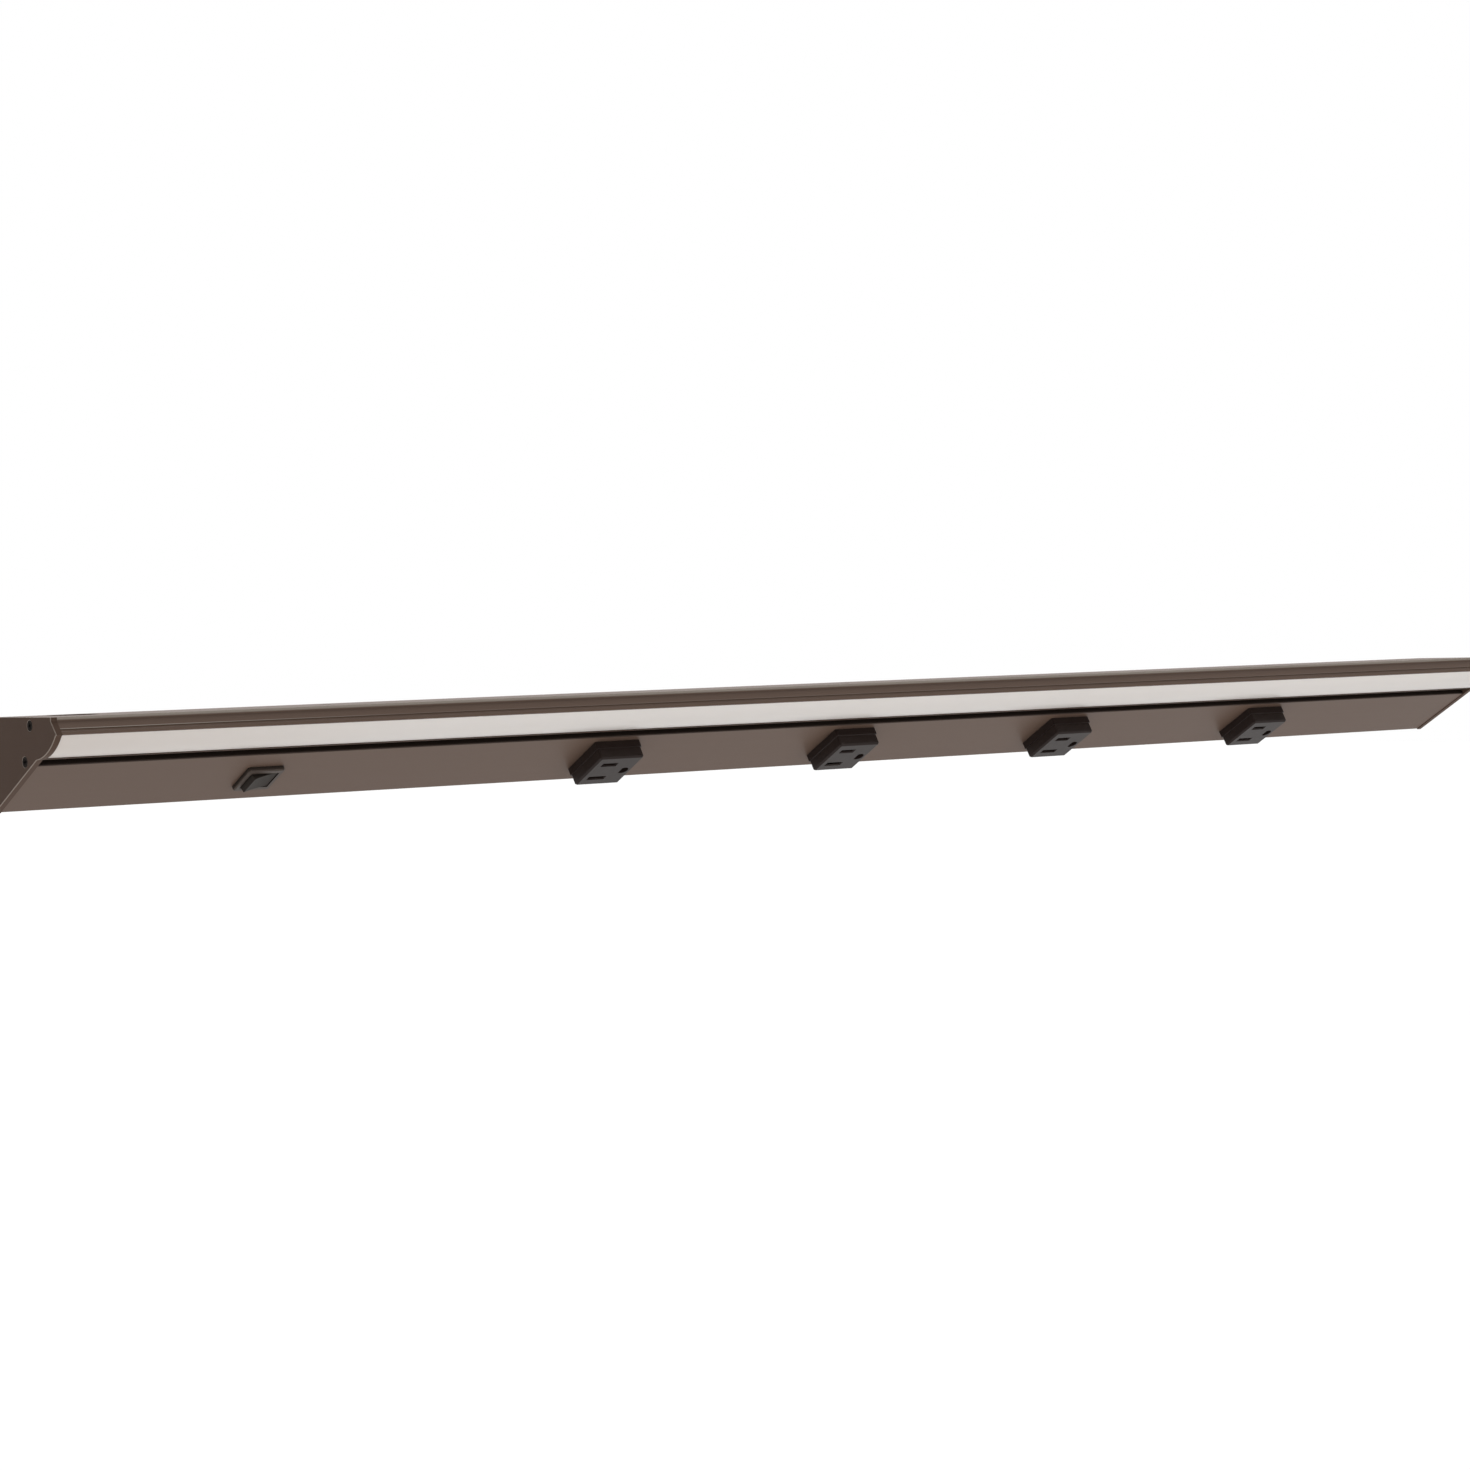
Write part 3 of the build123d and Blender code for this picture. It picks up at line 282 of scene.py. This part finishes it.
lens_left, lens_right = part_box("lens")
half_chord = (LENS_END - LENS_START) / 2
bow = (half_chord ** 2 + LENS_BULGE ** 2) / (2 * LENS_BULGE)
bow_middle = on_slope((LENS_START + LENS_END) / 2, LENS_DEEP - LENS_BULGE + bow, lens_left.x)
section = bmesh.new()
outer = section.verts.new(on_slope(LENS_START, LENS_DEEP, lens_left.x))
inner = section.verts.new(bow_middle + (outer.co - bow_middle) * (1 - LENS_WALL / bow))
first = section.edges.new((outer, inner))
swept = bmesh.ops.spin(section, geom=[outer, inner, first], cent=bow_middle, axis=(1, 0, 0),
                       angle=2 * math.asin(half_chord / bow), steps=LENS_STEPS)
last = edges_of(swept["geom_last"])[0]
slope = on_slope(LENS_TONGUE, 0) - on_slope(0, 0)
for edge, way in ((first, -slope), (last, slope)):
    tongue = bmesh.ops.extrude_edge_only(section, edges=[edge])["geom"]
    bmesh.ops.translate(section, vec=way, verts=verts_of(tongue))
bmesh.ops.remove_doubles(section, verts=section.verts, dist=SAME_PLACE)
drawn_out = bmesh.ops.extrude_face_region(section, geom=section.faces[:])["geom"]
bmesh.ops.translate(section, vec=(lens_right.x - lens_left.x, 0, 0), verts=verts_of(drawn_out))
bmesh.ops.recalc_face_normals(section, faces=section.faces)

# Painted shade for the lower lens and painted light for the upper lens:
MILK_SHADED = (0.535, 0.500, 0.472)
MILK_LIT = (0.745, 0.700, 0.665)
# A darker, warmer tone towards the left end of the lens:
MILK_LEFT_END = (0.470, 0.400, 0.350)
LENS_SHADE_DROP = 17.6 * MM
LENS_SHADE_FADE = 10 * MM
LEFT_END_LENGTH = 480 * MM
LEFT_END_MOST = 0.45

milky = Finish("milky_lens", roughness=0.36, specular_ior_level=0.3, subsurface_weight=0.2,
               subsurface_radius=(1.0, 0.9, 0.8), subsurface_scale=3 * MM)
haze = milky.noise(60 * MM, stretch=(0.25, 1.0, 1.0))
streaks = milky.noise(0.6 * MM, stretch=(0.004, 1.0, 1.0))
# Painted light and shade: the lens is lighter towards its top and darker towards its bottom.
lit_top = ((milky.along("Z") + LENS_SHADE_DROP) / LENS_SHADE_FADE).clamped()
milk = milky.mix(lit_top * 0.85 + haze * 0.1 + streaks * 0.05, MILK_SHADED, MILK_LIT)
# The lens is darker and warmer towards its left end.
left_end_share = LEFT_END_MOST - (milky.along("X") / LEFT_END_LENGTH + 1.0).clamped()
milky.set(base_color=milky.mix(left_end_share.clamped(), milk, MILK_LEFT_END))
milky.relief(streaks + 0.3 * milky.noise(0.3 * MM), 5 * MICRON)
finished("lens_milky", section, milky, "housing", "lens_plastic", "lens")


# End caps
# Moulded plastic with a fine spark-eroded texture, one at each end. A rim on the inside locates each in
# the housing.

CAP_BROWN = (0.076, 0.047, 0.034)
CAP_BROWN_PALE = (0.086, 0.055, 0.041)
# Painted highlight along the edge of each cap's outer face:
CAP_EDGE_PAINTED_HIGHLIGHT = (0.34, 0.29, 0.25)
CAP_HIGHLIGHT_SHARE = 0.6
CAP_CORNER = 0.42 * MM
CAP_CORNER_END = 0.03 * MM
CAP_ROUND = 0.12 * MM
ROUNDED_ANGLE = math.radians(28.0)
FLAT_ANGLE = math.radians(1.0)
end_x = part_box("end_cap_right")[1].x


def softened(name, finish, body, slot, radius, segments=3):
    """A copy of a CAD node with its edges rounded, which stands for the node."""
    mesh = bmesh.new()
    mesh.from_mesh(nodes[name].data)
    bmesh.ops.remove_doubles(mesh, verts=mesh.verts, dist=SAME_PLACE)
    bmesh.ops.dissolve_limit(mesh, angle_limit=FLAT_ANGLE, verts=mesh.verts, edges=mesh.edges)
    made = finished(name + "_rounded", mesh, finish, body, slot, name)
    rounding = made.modifiers.new("rounding", "BEVEL")
    rounding.width = radius
    rounding.segments = segments
    rounding.limit_method = "ANGLE"
    rounding.angle_limit = ROUNDED_ANGLE
    made.modifiers.new("flat_faces", "WEIGHTED_NORMAL").keep_sharp = True
    return made


cap = Finish("moulded_cap", roughness=0.46, specular_ior_level=0.035)
cap_end = cap.along("X").absolute()
# Painted highlight: a thin pale line round each cap's rim, just behind its outer face.
cap_edge_highlight = (cap_end > end_x - CAP_CORNER) * (cap_end < end_x - CAP_CORNER_END)
cap_brown = cap.mix(cap.noise(18 * MM), CAP_BROWN, CAP_BROWN_PALE)
cap.set(base_color=cap.mix(cap_edge_highlight * CAP_HIGHLIGHT_SHARE, cap_brown, CAP_EDGE_PAINTED_HIGHLIGHT))
cap.relief(cap.noise(0.3 * MM, 3.0), 12 * MICRON)
for name in ("end_cap_left", "end_cap_right"):
    softened(name, cap, "housing", "cap_plastic", CAP_ROUND)


# Cap screws
# Flat-headed self-tapping screws, black oxide on steel, three at each end. Their cross recesses are
# struck cold, and their threads cut into the bores of the extrusion.

HEAD_RADIUS = 2.3 * MM
HEAD_SIDES = 24
HEAD_SUNK = 0.1 * MM
NECK_DROP = 1.25 * MM
CORE_RADIUS = 0.95 * MM
POINT_RADIUS = 0.3 * MM
POINT_LENGTH = 1.2 * MM
RECESS_HALF = 1.25 * MM
RECESS_ARM = 0.28 * MM
RECESS_DEPTH = 0.9 * MM
RECESS_TAPER = 0.62
THREAD_PITCH = 0.9 * MM
THREAD_ROOT = 0.9 * CORE_RADIUS
THREAD_CREST = 1.27 * MM
THREAD_TOOTH = ((THREAD_ROOT, 0.1 * MM), (THREAD_CREST, 0.35 * MM), (THREAD_ROOT, 0.6 * MM))
THREAD_TURNS = 9
CORE_TURNS = 10
TURN_STEPS = 16


def screw_mesh():
    """One screw on its own axis, with the top of its head at the origin and its point downwards."""
    mesh = bmesh.new()
    bmesh.ops.create_grid(mesh, x_segments=3, y_segments=3, size=RECESS_HALF)
    for vert in mesh.verts:
        for i in (0, 1):
            if abs(vert.co[i]) < RECESS_HALF / 2:
                vert.co[i] = math.copysign(RECESS_ARM, vert.co[i])
    corners = [face for face in mesh.faces if min(map(abs, face.calc_center_median()[:2])) > RECESS_ARM]
    bmesh.ops.delete(mesh, geom=corners, context="FACES")
    cross = mesh.faces[:]
    cross_rim = [edge for edge in mesh.edges if edge.is_boundary]
    ring = set(bmesh.ops.create_circle(mesh, segments=HEAD_SIDES, radius=HEAD_RADIUS)["verts"])
    head_rim = [edge for edge in mesh.edges if edge.verts[0] in ring]
    bmesh.ops.bridge_loops(mesh, edges=cross_rim + head_rim)
    recess = verts_of(bmesh.ops.extrude_face_region(mesh, geom=cross)["geom"])
    bmesh.ops.translate(mesh, vec=(0, 0, -RECESS_DEPTH), verts=recess)
    bmesh.ops.scale(mesh, vec=(RECESS_TAPER, RECESS_TAPER, 1.0), verts=recess)
    bmesh.ops.delete(mesh, geom=[face for face in cross if face.is_valid], context="FACES_KEEP_BOUNDARY")
    rim = [edge for edge in mesh.edges if edge.is_boundary and edge.verts[0].co.length > 0.9 * HEAD_RADIUS]
    core_length = THREAD_PITCH * CORE_TURNS
    for drop, radius in ((NECK_DROP, CORE_RADIUS), (core_length, CORE_RADIUS), (POINT_LENGTH, POINT_RADIUS)):
        pushed = bmesh.ops.extrude_edge_only(mesh, edges=rim)["geom"]
        verts = verts_of(pushed)
        narrowing = radius / math.hypot(*verts[0].co[:2])
        bmesh.ops.translate(mesh, vec=(0, 0, -drop), verts=verts)
        bmesh.ops.scale(mesh, vec=(narrowing, narrowing, 1.0), verts=verts)
        rim = edges_of(pushed)
    bmesh.ops.contextual_create(mesh, geom=rim)
    tooth = [mesh.verts.new((radius, 0, -NECK_DROP - drop)) for radius, drop in THREAD_TOOTH]
    start = mesh.faces.new(tooth)
    bmesh.ops.spin(mesh, geom=[*start.verts, *start.edges, start], cent=(0, 0, 0), axis=(0, 0, 1),
                   dvec=(0, 0, -THREAD_PITCH / TURN_STEPS), angle=2 * math.pi * THREAD_TURNS,
                   steps=TURN_STEPS * THREAD_TURNS)
    bmesh.ops.recalc_face_normals(mesh, faces=mesh.faces)
    return mesh


OXIDE = (0.009, 0.006, 0.0045)
OXIDE_PALE = (0.014, 0.010, 0.008)
OXIDE_SHEEN = (1.0, 0.70, 0.52, 1.0)

black_oxide = Finish("black_oxide", specular_ior_level=0.04, specular_tint=OXIDE_SHEEN)
black_oxide.set(base_color=black_oxide.mix(black_oxide.noise(0.8 * MM), OXIDE, OXIDE_PALE),
                roughness=0.42 + 0.12 * black_oxide.noise(0.5 * MM))
black_oxide.relief(black_oxide.noise(0.15 * MM), 4 * MICRON)

TOP_PORT = (0.0, -10.487 * MM, -3.5 * MM)
BACK_PORT = (0.0, 21.8 * MM, -29.475 * MM)
FACE_PORT_ALONG = 30.4 * MM
FACE_PORT_DEEP = 4.0 * MM
FIRST_TURN = 0.5
TURN_APART = 1.1

one_screw = bpy.data.meshes.new("one_screw")
pattern = screw_mesh()
pattern.to_mesh(one_screw)
pattern.free()
ports = [Vector(TOP_PORT), on_slope(FACE_PORT_ALONG, FACE_PORT_DEEP), Vector(BACK_PORT)]
for side, name in ((-1, "left"), (1, "right")):
    trio = bmesh.new()
    for i, port in enumerate(ports):
        trio.from_mesh(one_screw)
        placed = Matrix.Translation((side * (end_x - HEAD_SUNK), port.y, port.z))
        placed @= Vector((side, 0, 0)).to_track_quat("Z", "Y").to_matrix().to_4x4()
        placed @= Matrix.Rotation(FIRST_TURN + TURN_APART * i, 4, "Z")
        trio.verts.ensure_lookup_table()
        bmesh.ops.transform(trio, matrix=placed, verts=trio.verts[-len(one_screw.vertices):])
    finished(f"cap_screws_{name}", trio, black_oxide, "housing", "black_screw", f"end_cap_screws_{name}")


# Sockets
# Four blocks moulded in dark, finely textured plastic. Each has a stepped front that stands on the cover
# and two clips that snap behind it, and its openings take the blades and the ground pin of a plug.

SOCKET_DARK = (0.017, 0.0105, 0.0085)
SOCKET_PALE = (0.023, 0.0150, 0.0127)
SOCKET_ROUND = 0.22 * MM
socket_numbers = (1, 2, 3, 4)

moulded = Finish("socket_plastic", specular_ior_level=0.12)
moulded.set(base_color=moulded.mix(moulded.noise(9 * MM), SOCKET_DARK, SOCKET_PALE),
            roughness=0.34 + 0.06 * moulded.noise(4 * MM))
moulded.relief(moulded.noise(0.25 * MM, 3.0), 9 * MICRON)
for i in socket_numbers:
    for part in ("body", "back"):
        softened(f"outlet_{i}_{part}", moulded, "housing", "outlet_plastic", SOCKET_ROUND)


# Contacts
# Clips stamped from brass strip and bent so that two leaves grip each blade. The rolling of the strip
# leaves a fine grain along it.

BRASS = (0.72, 0.52, 0.22)
BRASS_DULL = (0.60, 0.40, 0.16)

brass = Finish("contact_brass", metallic=1.0)
grain = brass.noise(0.25 * MM, stretch=(1.0, 0.15, 0.15))
brass.set(base_color=brass.mix(brass.noise(3 * MM, 3.0), BRASS, BRASS_DULL), roughness=0.24 + 0.18 * grain)
brass.relief(grain, 3 * MICRON)
for i in socket_numbers:
    brass.on(*(f"outlet_{i}_{part}_contact" for part in ("line", "neutral", "ground")))


# Switch
# A snap-in rocker switch. Its shell and floor are moulded nylon, its rocker is a smooth dished paddle on
# two pins, and a sprung plunger under the rocker tips a brass lever onto the load contact.

SHELL_BROWN = (0.058, 0.043, 0.035)
SHELL_BROWN_PALE = (0.066, 0.050, 0.041)
PADDLE_BROWN = (0.023, 0.018, 0.0145)
PADDLE_BROWN_PALE = (0.028, 0.022, 0.018)
PLUNGER_GREY = (0.045, 0.045, 0.045)
PLUNGER_GREY_PALE = (0.06, 0.06, 0.058)
# Painted shade for the corners of the switch:
SWITCH_PAINTED_SHADE = (0.006, 0.004, 0.003)
SWITCH_CORNER_SHADE = (3 * MM, 2.4, 0.3)
SHELL_ROUND = 0.2 * MM
BASE_ROUND = 0.12 * MM
PADDLE_ROUND = 0.3 * MM
PADDLE_SEGMENTS = 4

shell = Finish("switch_shell", roughness=0.38, specular_ior_level=0.12)
shell_brown = shell.mix(shell.noise(6 * MM), SHELL_BROWN, SHELL_BROWN_PALE)
# Painted shade in the shell's corners, from ambient occlusion.
shell.set(base_color=shell.mix(shell.corners(*SWITCH_CORNER_SHADE), shell_brown, SWITCH_PAINTED_SHADE))
shell.relief(shell.noise(0.3 * MM), 7 * MICRON)
softened("switch_body", shell, "housing", "outlet_plastic", SHELL_ROUND)
softened("switch_base", shell, "housing", "switch_nylon", BASE_ROUND)

paddle = Finish("rocker_plastic", roughness=0.5, specular_ior_level=0.05)
paddle_brown = paddle.mix(paddle.noise(5 * MM), PADDLE_BROWN, PADDLE_BROWN_PALE)
# Painted shade in the paddle's corners, from ambient occlusion.
paddle.set(base_color=paddle.mix(paddle.corners(*SWITCH_CORNER_SHADE), paddle_brown, SWITCH_PAINTED_SHADE))
paddle.relief(paddle.noise(0.6 * MM), 2 * MICRON)
softened("switch_rocker", paddle, "rocker", "rocker_plastic", PADDLE_ROUND, PADDLE_SEGMENTS)

slick = Finish("plunger_nylon", roughness=0.30)
slick.set(base_color=slick.mix(slick.noise(1.5 * MM), PLUNGER_GREY, PLUNGER_GREY_PALE))
slick.relief(slick.noise(0.3 * MM), 3 * MICRON)
slick.on("switch_plunger")
brass.on("switch_lever", "switch_line_terminal", "switch_load_terminal")


# Light boards and chips
# Three white circuit boards end to end under the top wall, with twelve light chips soldered on each.
# A chip is a white moulded tub, filled with clear resin full of yellow phosphor.

MASK_WHITE = (0.80, 0.80, 0.77)
MASK_OVER_TRACK = (0.66, 0.67, 0.64)
TRACK_PITCH = 3.66 * MM
TRACK_SHARE = 0.12

board = Finish("solder_mask", roughness=0.3, specular_ior_level=0.5)
tracks = board.along("Y").wave(TRACK_PITCH) < TRACK_SHARE
board.set(base_color=board.mix(tracks, MASK_WHITE, MASK_OVER_TRACK))
board.relief(board.noise(0.5 * MM, stretch=(1.0, 0.4, 1.0)) + 0.6 * tracks, 12 * MICRON)
board.on("led_boards")

TUB_WHITE = (0.82, 0.82, 0.80, 1.0)
PHOSPHOR = (0.78, 0.60, 0.08)
PHOSPHOR_PALE = (0.88, 0.72, 0.16)

tub = Finish("chip_tub", roughness=0.35, base_color=TUB_WHITE)
tub.relief(tub.noise(0.2 * MM), 2 * MICRON)
phosphor = Finish("chip_phosphor", roughness=0.25, specular_ior_level=0.6, subsurface_weight=0.3,
                  subsurface_scale=0.3 * MM)
phosphor.set(base_color=phosphor.mix(phosphor.noise(0.12 * MM, 3.0), PHOSPHOR, PHOSPHOR_PALE))
phosphor.relief(phosphor.noise(0.4 * MM), 6 * MICRON)

BOARDS = 3
BOARD_GAP = 0.6 * MM
CHIPS_PER_BOARD = 12
CHIP_LENGTH = 3.5 * MM
MOUTH_TAPER = 0.95
TUB_WALL = 0.3 * MM
TUB_SINK = 0.12 * MM

boards_left, boards_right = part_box("led_boards")
chips_low, chips_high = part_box("led_chips")
board_length = (boards_right.x - boards_left.x - (BOARDS - 1) * BOARD_GAP) / BOARDS
chip_size = Vector((CHIP_LENGTH, chips_high.y - chips_low.y, chips_high.z - chips_low.z))
chips = bmesh.new()
for i in range(BOARDS * CHIPS_PER_BOARD):
    x = boards_left.x + (i // CHIPS_PER_BOARD) * (board_length + BOARD_GAP)
    x += board_length * (i % CHIPS_PER_BOARD + 0.5) / CHIPS_PER_BOARD
    middle = Vector((x, (chips_low.y + chips_high.y) / 2, (chips_low.z + chips_high.z) / 2))
    placed = Matrix.Translation(middle) @ Matrix.Diagonal((*chip_size, 1.0))
    corners = bmesh.ops.create_cube(chips, size=1.0, matrix=placed)["verts"]
    mouth = [face for face in {f for v in corners for f in v.link_faces} if face.normal.z < -0.5]
    for vert in mouth[0].verts:
        vert.co.x = middle.x + (vert.co.x - middle.x) * MOUTH_TAPER
    bmesh.ops.inset_region(chips, faces=mouth, thickness=TUB_WALL)
    bmesh.ops.inset_region(chips, faces=mouth, thickness=TUB_SINK, depth=-TUB_SINK)
    mouth[0].material_index = 1
chips_made = finished("chips_moulded", chips, tub, "housing", "chip_yellow", "led_chips")
chips_made.data.materials.append(phosphor.material)


# Light driver, its socket and leads
# A black moulded tray potted with the driver's circuit. Two thin leads pass through the web and plug into
# a white nylon socket on the last board.

TRAY_BLACK = (0.016, 0.016, 0.016)
TRAY_BLACK_PALE = (0.024, 0.024, 0.024)
TRAY_ROUND = 0.35 * MM
NYLON = (0.68, 0.65, 0.57)
NYLON_PALE = (0.76, 0.73, 0.66)
NYLON_ROUND = 0.25 * MM
LEAD_RED = (0.36, 0.024, 0.018)
LEAD_RED_PALE = (0.44, 0.036, 0.026)
RING_PITCH = 1.3 * MM

tray = Finish("driver_case", specular_ior_level=0.4)
tray.set(base_color=tray.mix(tray.noise(14 * MM), TRAY_BLACK, TRAY_BLACK_PALE),
         roughness=0.45 + 0.1 * tray.noise(6 * MM))
tray.relief(tray.noise(0.4 * MM, 3.0), 12 * MICRON)
softened("led_driver", tray, "housing", "driver_case", TRAY_ROUND)

nylon = Finish("natural_nylon", roughness=0.42, subsurface_weight=0.1, subsurface_scale=1 * MM)
nylon.set(base_color=nylon.mix(nylon.noise(7 * MM), NYLON, NYLON_PALE))
nylon.relief(nylon.noise(0.35 * MM, 3.0), 8 * MICRON)
softened("led_connector", nylon, "housing", "white_nylon", NYLON_ROUND)


def sheath(name, colour, pale):
    """Extruded insulation: a soft sheen, with faint rings where the wire was drawn."""
    made = Finish(name, roughness=0.38, specular_ior_level=0.45)
    made.set(base_color=made.mix(made.noise(8 * MM, stretch=(0.3, 1.0, 1.0)), colour, pale))
    made.relief(made.noise(0.7 * MM) + 0.3 * made.along("X").wave(RING_PITCH), 8 * MICRON)
    return made


sheath("lead_red", LEAD_RED, LEAD_RED_PALE).on("led_leads")


# Terminal block and wiring
# A three-way block of natural nylon, where the supply is clamped under zinc plated screws. Solid wires run
# from it straight through the sockets, and two leads carry the line through the switch to the driver.

ZINC = (0.56, 0.57, 0.58)
ZINC_DULL = (0.66, 0.65, 0.60)
SHEATH_BLACK = (0.014, 0.014, 0.014)
SHEATH_BLACK_PALE = (0.022, 0.022, 0.021)
SHEATH_WHITE = (0.66, 0.66, 0.63)
SHEATH_WHITE_PALE = (0.74, 0.74, 0.71)
SHEATH_GREEN = (0.022, 0.17, 0.045)
SHEATH_GREEN_PALE = (0.032, 0.22, 0.062)

softened("terminal_block", nylon, "housing", "white_nylon", NYLON_ROUND)

zinc = Finish("zinc_plate", metallic=1.0)
zinc.set(base_color=zinc.mix(zinc.noise(1.5 * MM), ZINC, ZINC_DULL),
         roughness=0.28 + 0.14 * zinc.noise(0.4 * MM))
zinc.relief(zinc.noise(0.25 * MM), 4 * MICRON)
zinc.on("terminal_screws")

sheath("sheath_black", SHEATH_BLACK, SHEATH_BLACK_PALE).on("line_wire", "switch_leads")
sheath("sheath_white", SHEATH_WHITE, SHEATH_WHITE_PALE).on("neutral_wire")
sheath("sheath_green", SHEATH_GREEN, SHEATH_GREEN_PALE).on("ground_wire")


# Floor, light and camera
# A pale floor that is clear from below, a soft dim dome that shows white to the camera, a broad lamp high
# behind the strip and a weak one in front. The camera stands where the photo was taken from.

FLOOR_DROP = 0.6
FLOOR_SIDE = 24.0
FLOOR_PALE = (0.95, 0.95, 0.95, 1.0)
bpy.ops.mesh.primitive_plane_add(size=FLOOR_SIDE, location=(0.0, 0.0, -FLOOR_DROP))
floor = bpy.context.object
floor.name = "floor"
floor_paint = Finish("floor_paint", roughness=0.9, specular_ior_level=0.0, base_color=FLOOR_PALE)
under = floor_paint.node("ShaderNodeNewGeometry", output="Backfacing")
painted = Signal(floor_paint, floor_paint.shader.outputs["BSDF"])
clear_below = floor_paint.node("ShaderNodeBsdfTransparent")
floor_look = floor_paint.node("ShaderNodeMixShader", {}, {0: under, 1: painted, 2: clear_below})
floor_paint.join(floor_look, floor_paint.tree.nodes["Material Output"].inputs["Surface"])
floor.data.materials.append(floor_paint.material)

DOME = 0.27
world = bpy.data.worlds.new("studio")
bpy.context.scene.world = world
world.use_nodes = True
sky = NodeTree(world.node_tree)
seen = sky.node("ShaderNodeLightPath", output="Is Camera Ray")
for ray in ("Is Glossy Ray", "Is Transmission Ray"):
    seen = seen.maths("MAXIMUM", seen, sky.node("ShaderNodeLightPath", output=ray))
background = world.node_tree.nodes["Background"]
sky.join(DOME + (1.0 - DOME) * seen, background.inputs["Strength"])
sky.join((1.0, 1.0, 1.0, 1.0), background.inputs["Color"])

HIGH_LAMP = ("high_lamp", 2.75, 35.0, (0.15, 0.41, 0.90))
FRONT_LAMP = ("front_lamp", 0.72, 60.0, (0.20, -0.97, 0.10))
for name, strength, spread, source in (HIGH_LAMP, FRONT_LAMP):
    lamp_data = bpy.data.lights.new(name, "SUN")
    lamp_data.energy = strength
    lamp_data.angle = math.radians(spread)
    lamp = bpy.data.objects.new(name, lamp_data)
    lamp.rotation_euler = Vector(source).to_track_quat("Z", "Y").to_euler()
    bpy.context.collection.objects.link(lamp)

PHOTO_SIDE = 1470
FOCAL_PIXELS = 3657.49
SENSOR = 36.0
CAMERA_PLACE = Vector((-1174.84, -1407.12, 28.81)) * MM
CAMERA_RIGHT = Vector((0.786, -0.61754, -0.02904))
CAMERA_DOWN = Vector((-0.04079, -0.00493, -0.99916))
CAMERA_FORWARD = Vector((0.61688, 0.78652, -0.02906))
camera_data = bpy.data.cameras.new("camera")
camera_data.sensor_width = SENSOR
camera_data.lens = SENSOR * FOCAL_PIXELS / PHOTO_SIDE
camera = bpy.data.objects.new("camera", camera_data)
bpy.context.collection.objects.link(camera)
facing = Matrix((CAMERA_RIGHT, -CAMERA_DOWN, -CAMERA_FORWARD)).transposed().to_4x4()
camera.matrix_world = Matrix.Translation(CAMERA_PLACE) @ facing
bpy.context.scene.camera = camera
bpy.context.scene.view_settings.view_transform = "Standard"
